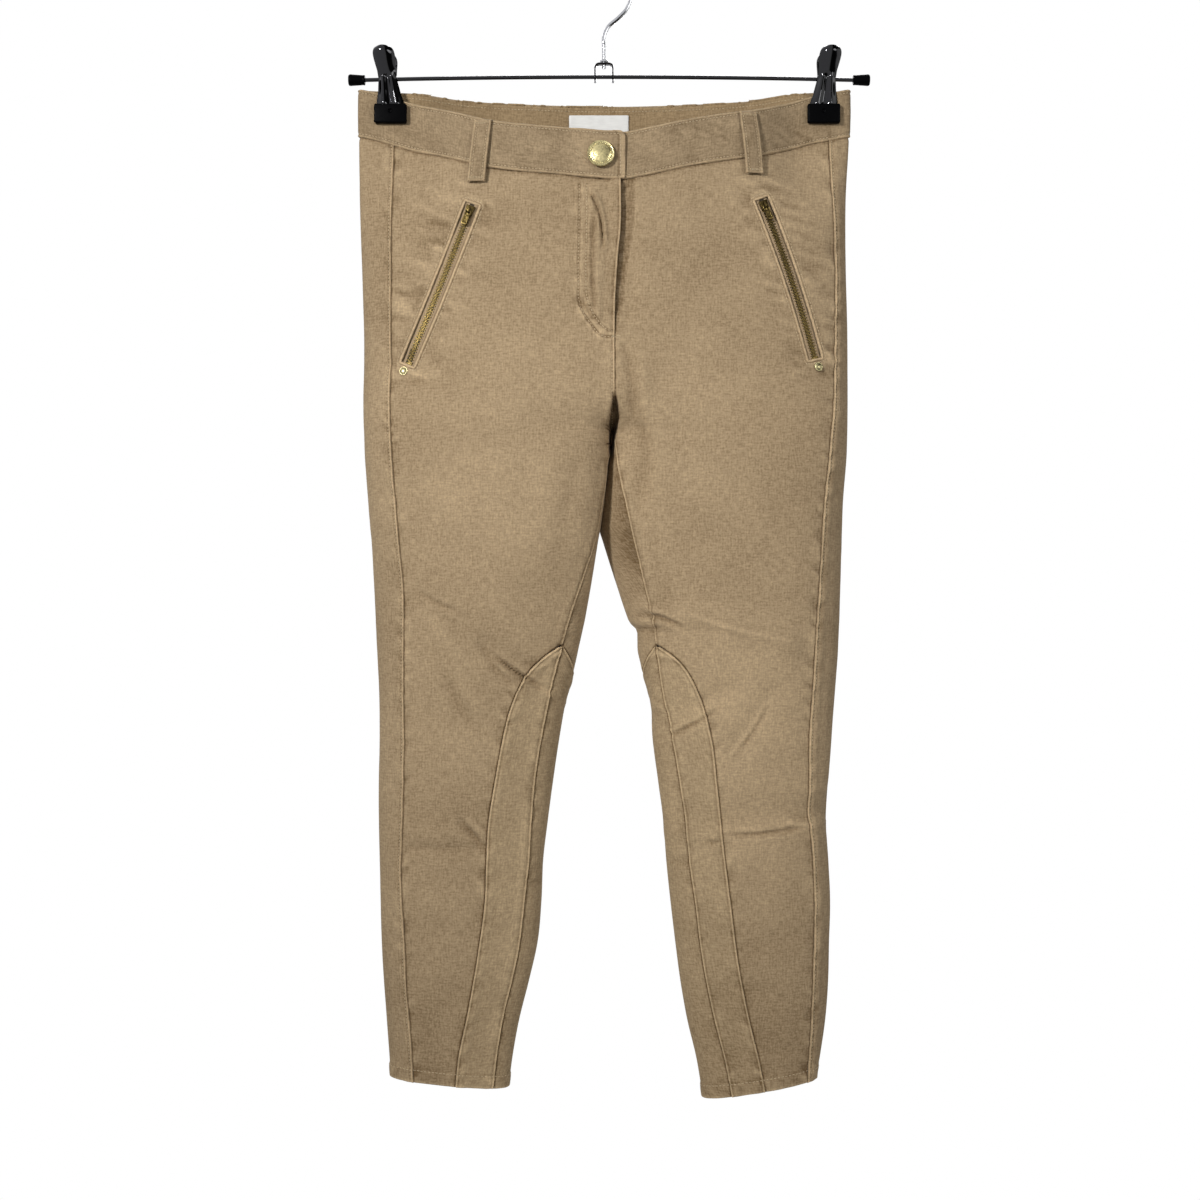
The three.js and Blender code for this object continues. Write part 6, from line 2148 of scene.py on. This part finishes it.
class JeansColours(bpy.types.PropertyGroup):
    cloth: colour_property("Cloth", "Washed twill of the legs and band", "#A58F70")
    inside: colour_property("Inner band", "Twill on the inside of the waistband", "#9C8564")
    inset: colour_property("Insets", "Twill of the inner-leg insets", "#A89272")
    thread: colour_property("Thread", "Sewing thread", "#C2AD8A")
    tape: colour_property("Zip tape", "Woven tape of the pocket zips", "#A0896A")
    label: colour_property("Label", "Satin of the waist label", "#E3E2DE")
    brass: colour_property("Zip metal", "Antique brass of the teeth and sliders", "#5C4E2D")
    button: colour_property("Button metal", "Pale brass of the button and rivets", "#CBBE8C")
    steel: colour_property("Hanger metal", "Black nickel of the rod, bracket and clips", "#121215")
    rubber: colour_property("Rubber", "Clip pads and rod caps", "#030304")
    floor: colour_property("Floor", "Studio floor", "#E9E8E5")


# ---------------------------------------------------------------- operators


class JEANS_OT_panels(bpy.types.Operator):
    """Makes the two front and two back panels, with the zip slots in the fronts"""

    bl_idname = "jeans.panels"
    bl_label = "Front and back panels"

    def execute(self, context):
        for kind in ("front", "back"):
            for side in SIDES:
                name = f"{kind}_{side}"
                thing = make_panel(side, kind, name, material("twill"))
                if kind == "front":
                    thing = open_zip_slot(side, thing)
                finish_piece(thing, name, "twill")
        return {"FINISHED"}


class JEANS_OT_insets(bpy.types.Operator):
    """Makes the four shaped insets of the inner legs"""

    bl_idname = "jeans.insets"
    bl_label = "Inner-leg insets"

    def execute(self, context):
        for kind in ("inset", "back_inset"):
            for side in SIDES:
                name = ("front_inset_" if kind == "inset" else "back_inset_") + side
                thing = make_panel(side, kind, name, material("inset"))
                finish_piece(thing, name, "twill")
        return {"FINISHED"}


BAND_OVAL = (0.19, 0.02)  # half width and half depth of the band's rough oval, in metres


class JEANS_OT_waistband(bpy.types.Operator):
    """Makes the waistband: two front halves, the right lapping over the left, and the back"""

    bl_idname = "jeans.waistband"
    bl_label = "Waistband"

    def execute(self, context):
        for side in SIDES:
            name = "waistband_front_" + side
            thing = finish_piece(make_front_band(side, material("band")), name, "twill")
        thing = finish_piece(make_back_band(material("inside")), "waistband_back", "twill")
        # the outer face is the garment's outside: the same washed cloth as the front bands
        thing.data.materials.append(material("band"))
        for polygon in thing.data.polygons:
            at, facing_out = polygon.center, polygon.normal
            off = at.x - CENTRE_X * MM
            outward = facing_out.y * at.y / BAND_OVAL[1] ** 2 + facing_out.x * off / BAND_OVAL[0] ** 2
            polygon.material_index = int(outward > 0)
        return {"FINISHED"}


class JEANS_OT_loops(bpy.types.Operator):
    """Makes the five belt loops"""

    bl_idname = "jeans.loops"
    bl_label = "Belt loops"

    def execute(self, context):
        for side, places in FRONT_LOOPS.items():
            name = "belt_loop_front_" + side
            thing = finish_piece(make_loop(name, *places, False, material("band")), name, "twill")
        for place, x in BACK_LOOPS.items():
            name = "belt_loop_" + place
            thing = finish_piece(make_loop(name, x, x, True, material("band")), name, "twill")
        return {"FINISHED"}


class JEANS_OT_label(bpy.types.Operator):
    """Makes the blank satin label inside the back of the waistband"""

    bl_idname = "jeans.label"
    bl_label = "Waist label"

    def execute(self, context):
        thing = finish_piece(make_label(material("satin")), "waist_label", "satin")
        return {"FINISHED"}


CORD_HALF = 2.2  # half the width of the two cords that hold the teeth, painted dark as their shade


class JEANS_OT_zips(bpy.types.Operator):
    """Makes the two pocket zips: tapes, teeth, stops, sliders and pull tabs"""

    bl_idname = "jeans.zips"
    bl_label = "Pocket zips"

    def execute(self, context):
        for side in SIDES:
            name = "zip_tape_" + side
            tape = finish_piece(make_zip_tape(side, material("tape")), name, "zip_tape")
            # the middle of the tape under the teeth gets the darker material: painted shade
            tape.data.materials.append(material("cord"))
            line = zip_line(side, np.linspace(0, 1, 200))[0] * MM
            for polygon in tape.data.polygons:
                off = np.hypot(line[:, 0] - polygon.center.x, line[:, 1] - polygon.center.z).min()
                polygon.material_index = int(off < CORD_HALF * MM)
            finish_piece(make_zip_chain(side, material("teeth")), "zip_chain_" + side, "brass")
            stop = make_zip_stop(side, material("teeth"))
            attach(stop, "root")
            finish_piece(make_slider(side, material("antique")), "zip_slider_" + side, "brass")
            finish_piece(make_pull(side, material("antique")), "zip_pull_" + side, "brass", "pull_" + side)
        return {"FINISHED"}


class JEANS_OT_button(bpy.types.Operator):
    """Makes the fly button and the two pocket rivets"""

    bl_idname = "jeans.button"
    bl_label = "Button and rivets"

    def execute(self, context):
        finish_piece(make_button(material("brass")), "fly_button", "brass")
        for side in SIDES:
            finish_piece(make_rivet(side, material("rivet")), "pocket_rivet_" + side, "brass")
        return {"FINISHED"}


class JEANS_OT_stitching(bpy.types.Operator):
    """Makes the topstitching, bar tacks and buttonhole"""

    bl_idname = "jeans.stitching"
    bl_label = "Stitching"

    def execute(self, context):
        for name, lines, thick, pitch in stitch_rows():
            make_stitches(name, lines, material("thread"), thick * sizes().stitch_width, pitch)
        return {"FINISHED"}


class JEANS_OT_hanger(bpy.types.Operator):
    """Makes the hanger's rod, end caps, hook, bracket and nut"""

    bl_idname = "jeans.hanger"
    bl_label = "Hanger"

    def execute(self, context):
        finish_piece(make_rod(material("steel")), "hanger_rod", "black_steel")
        for side in SIDES:
            finish_piece(make_rod_cap(side, material("rubber")), "rod_cap_" + side, "rubber")
        finish_piece(make_hook(material("chrome")), "hook", "chrome")
        finish_piece(make_bracket(material("steel")), "hook_bracket", "black_steel")
        finish_piece(make_collar(material("chrome")), "hook_collar", "chrome")
        return {"FINISHED"}


class JEANS_OT_clips(bpy.types.Operator):
    """Makes the two sprung clips, with their levers, pads and springs"""

    bl_idname = "jeans.clips"
    bl_label = "Clips"

    def execute(self, context):
        for side in SIDES:
            x = CLIP_X[side]
            for half, sign in (("front", -1.0), ("back", 1.0)):
                name = f"clip_{half}_{side}"
                finish_piece(make_lever(name, x, sign, material("steel")), name, "black_steel")
                name = f"clip_pad_{half}_{side}"
                finish_piece(make_pad(name, x, sign, material("rubber")), name, "rubber")
            finish_piece(make_spring(side, material("steel")), "clip_spring_" + side, "black_steel")
        return {"FINISHED"}


def make_floor():
    """Pale round floor that glows to the camera only."""
    alone()
    bpy.ops.mesh.primitive_circle_add(
        vertices=96, radius=FLOOR["radius"], fill_type="NGON", location=FLOOR["at"])
    floor = bpy.context.object
    bpy.ops.object.transform_apply()
    floor.name = "studio_floor"
    # painted board: pale, very faintly mottled
    board = speckled("painted_board", tuple(colours().floor), 6, 0.02, 0.0001, Roughness=0.9)
    floor.data.materials.append(board)
    # it glows to the camera only, so it runs into the white backdrop without lighting the cloth
    tree = board.node_tree
    seen = node(tree, "LightPath")
    glow = node(tree, "Math", {"operation": "MULTIPLY"}, i0=(seen, "Is Camera Ray"), i1=FLOOR["glow"])
    paint = tree.nodes["Principled BSDF"]
    paint.inputs["Emission Color"].default_value = (1, 1, 1, 1)
    tree.links.new(glow.outputs[0], paint.inputs["Emission Strength"])


def make_lamps():
    """The round area lamps of LIGHTS."""
    for name, at, aim, size, beam, power in LIGHTS:
        data = bpy.data.lights.new(name, "AREA")
        data.shape = "DISK"
        data.size = size
        data.energy = power
        data.spread = math.radians(beam)
        lamp = linked(name, data)
        lamp.location = at
        lamp.rotation_euler = (Vector(aim) - Vector(at)).to_track_quat("-Z", "Y").to_euler()


def make_camera():
    """Camera straight in front of the hanging garment."""
    data = bpy.data.cameras.new("camera")
    data.sensor_width = 36
    data.lens = 18 / math.tan(math.atan(CAMERA["half_view"] / CAMERA["distance"]))
    camera = linked("camera", data)
    camera.location = CAMERA["at"]
    camera.rotation_euler = (math.pi / 2, 0, 0)
    bpy.context.scene.camera = camera


def make_world():
    """Backdrop: white to the camera, a weaker even light on the cloth, and in gloss a room with walls."""
    world = bpy.data.worlds.new("studio")
    world.use_nodes = True
    tree = world.node_tree
    tree.nodes.clear()
    path = node(tree, "LightPath")
    even = node(tree, "Background", Color=(1.0, 0.99, 0.975, 1), Strength=AMBIENT)
    way = node(tree, "TexCoord")
    parts = node(tree, "SeparateXYZ", Vector=(way, "Generated"))
    walls = colour_ramp(tree, (parts, "X"), [
        (0.0, (0.75, 0.75, 0.78, 1)), *[(place, (tone, tone, tone, 1)) for place, tone in WALLS],
        (1.0, (0.9, 0.9, 0.9, 1))])
    pale = node(tree, "Background", Color=(walls, "Color"), Strength=1.0)
    white = node(tree, "Background", Color=(1, 1, 1, 1), Strength=1.0)
    gloss = node(tree, "MixShader", i0=(path, "Is Glossy Ray"), i1=(even, 0), i2=(pale, 0))
    mix = node(tree, "MixShader", i0=(path, "Is Camera Ray"), i1=(gloss, 0), i2=(white, 0))
    node(tree, "OutputWorld", Surface=(mix, 0))
    bpy.context.scene.world = world
    bpy.context.scene.view_settings.view_transform = "Standard"


class JEANS_OT_stage(bpy.types.Operator):
    """Makes the floor, the lights and the camera"""

    bl_idname = "jeans.stage"
    bl_label = "Studio"

    def execute(self, context):
        make_floor()
        make_lamps()
        make_camera()
        make_world()
        return {"FINISHED"}


FLOOR = {"radius": 0.95, "at": (0, -0.25, -1.3), "glow": 0.62}
CAMERA = {"at": (-0.00425, -1.5, -0.5491), "half_view": 510, "distance": 1500}


# Name, place, aim, width, spread in degrees and power of the lamps.
LIGHTS = [
    ("key", (-1.5, -2.05, 0.38), (0.0, 0.0, -0.35), 0.42, 57, 5.5),
    ("fill", (1.6, -1.75, 0.1), (0.0, 0.0, -0.42), 1.2, 80, 3.4),
    ("back", (0.4, 1.8, 0.6), (0.0, 0.0, -0.5), 1.5, 150, 20.0),
]
AMBIENT = 0.2
# Brightness of the room seen in gloss, from its left (0) to its right (1).
WALLS = [
    (0.2, 0.7), (0.3, 0.05), (0.42, 0.02), (0.47, 0.03), (0.53, 0.03), (0.6, 0.02), (0.8, 0.05), (0.86, 0.9),
]


class VIEW3D_PT_jeans(bpy.types.Panel):
    bl_label = "Jeans"
    bl_space_type = "VIEW_3D"
    bl_region_type = "UI"
    bl_category = "Jeans"

    def draw(self, context):
        for group in (context.scene.jeans_sizes, context.scene.jeans_colours):
            box = self.layout.box()
            for name in group.__annotations__:
                box.prop(group, name)
        for step in OPERATORS:
            self.layout.operator(step.bl_idname)


OPERATORS = (
    JEANS_OT_stage, JEANS_OT_panels, JEANS_OT_insets, JEANS_OT_waistband, JEANS_OT_loops, JEANS_OT_label,
    JEANS_OT_zips, JEANS_OT_button, JEANS_OT_stitching, JEANS_OT_hanger, JEANS_OT_clips,
)
CLASSES = (JeansSizes, JeansColours, *OPERATORS, VIEW3D_PT_jeans)


def register():
    for each in CLASSES:
        bpy.utils.register_class(each)
    bpy.types.Scene.jeans_sizes = PointerProperty(type=JeansSizes)
    bpy.types.Scene.jeans_colours = PointerProperty(type=JeansColours)


def unregister():
    del bpy.types.Scene.jeans_sizes
    del bpy.types.Scene.jeans_colours
    for each in reversed(CLASSES):
        bpy.utils.unregister_class(each)


def main():
    register()
    for step in OPERATORS:
        group, name = step.bl_idname.split(".")
        getattr(getattr(bpy.ops, group), name)()


if __name__ == "__main__":
    main()
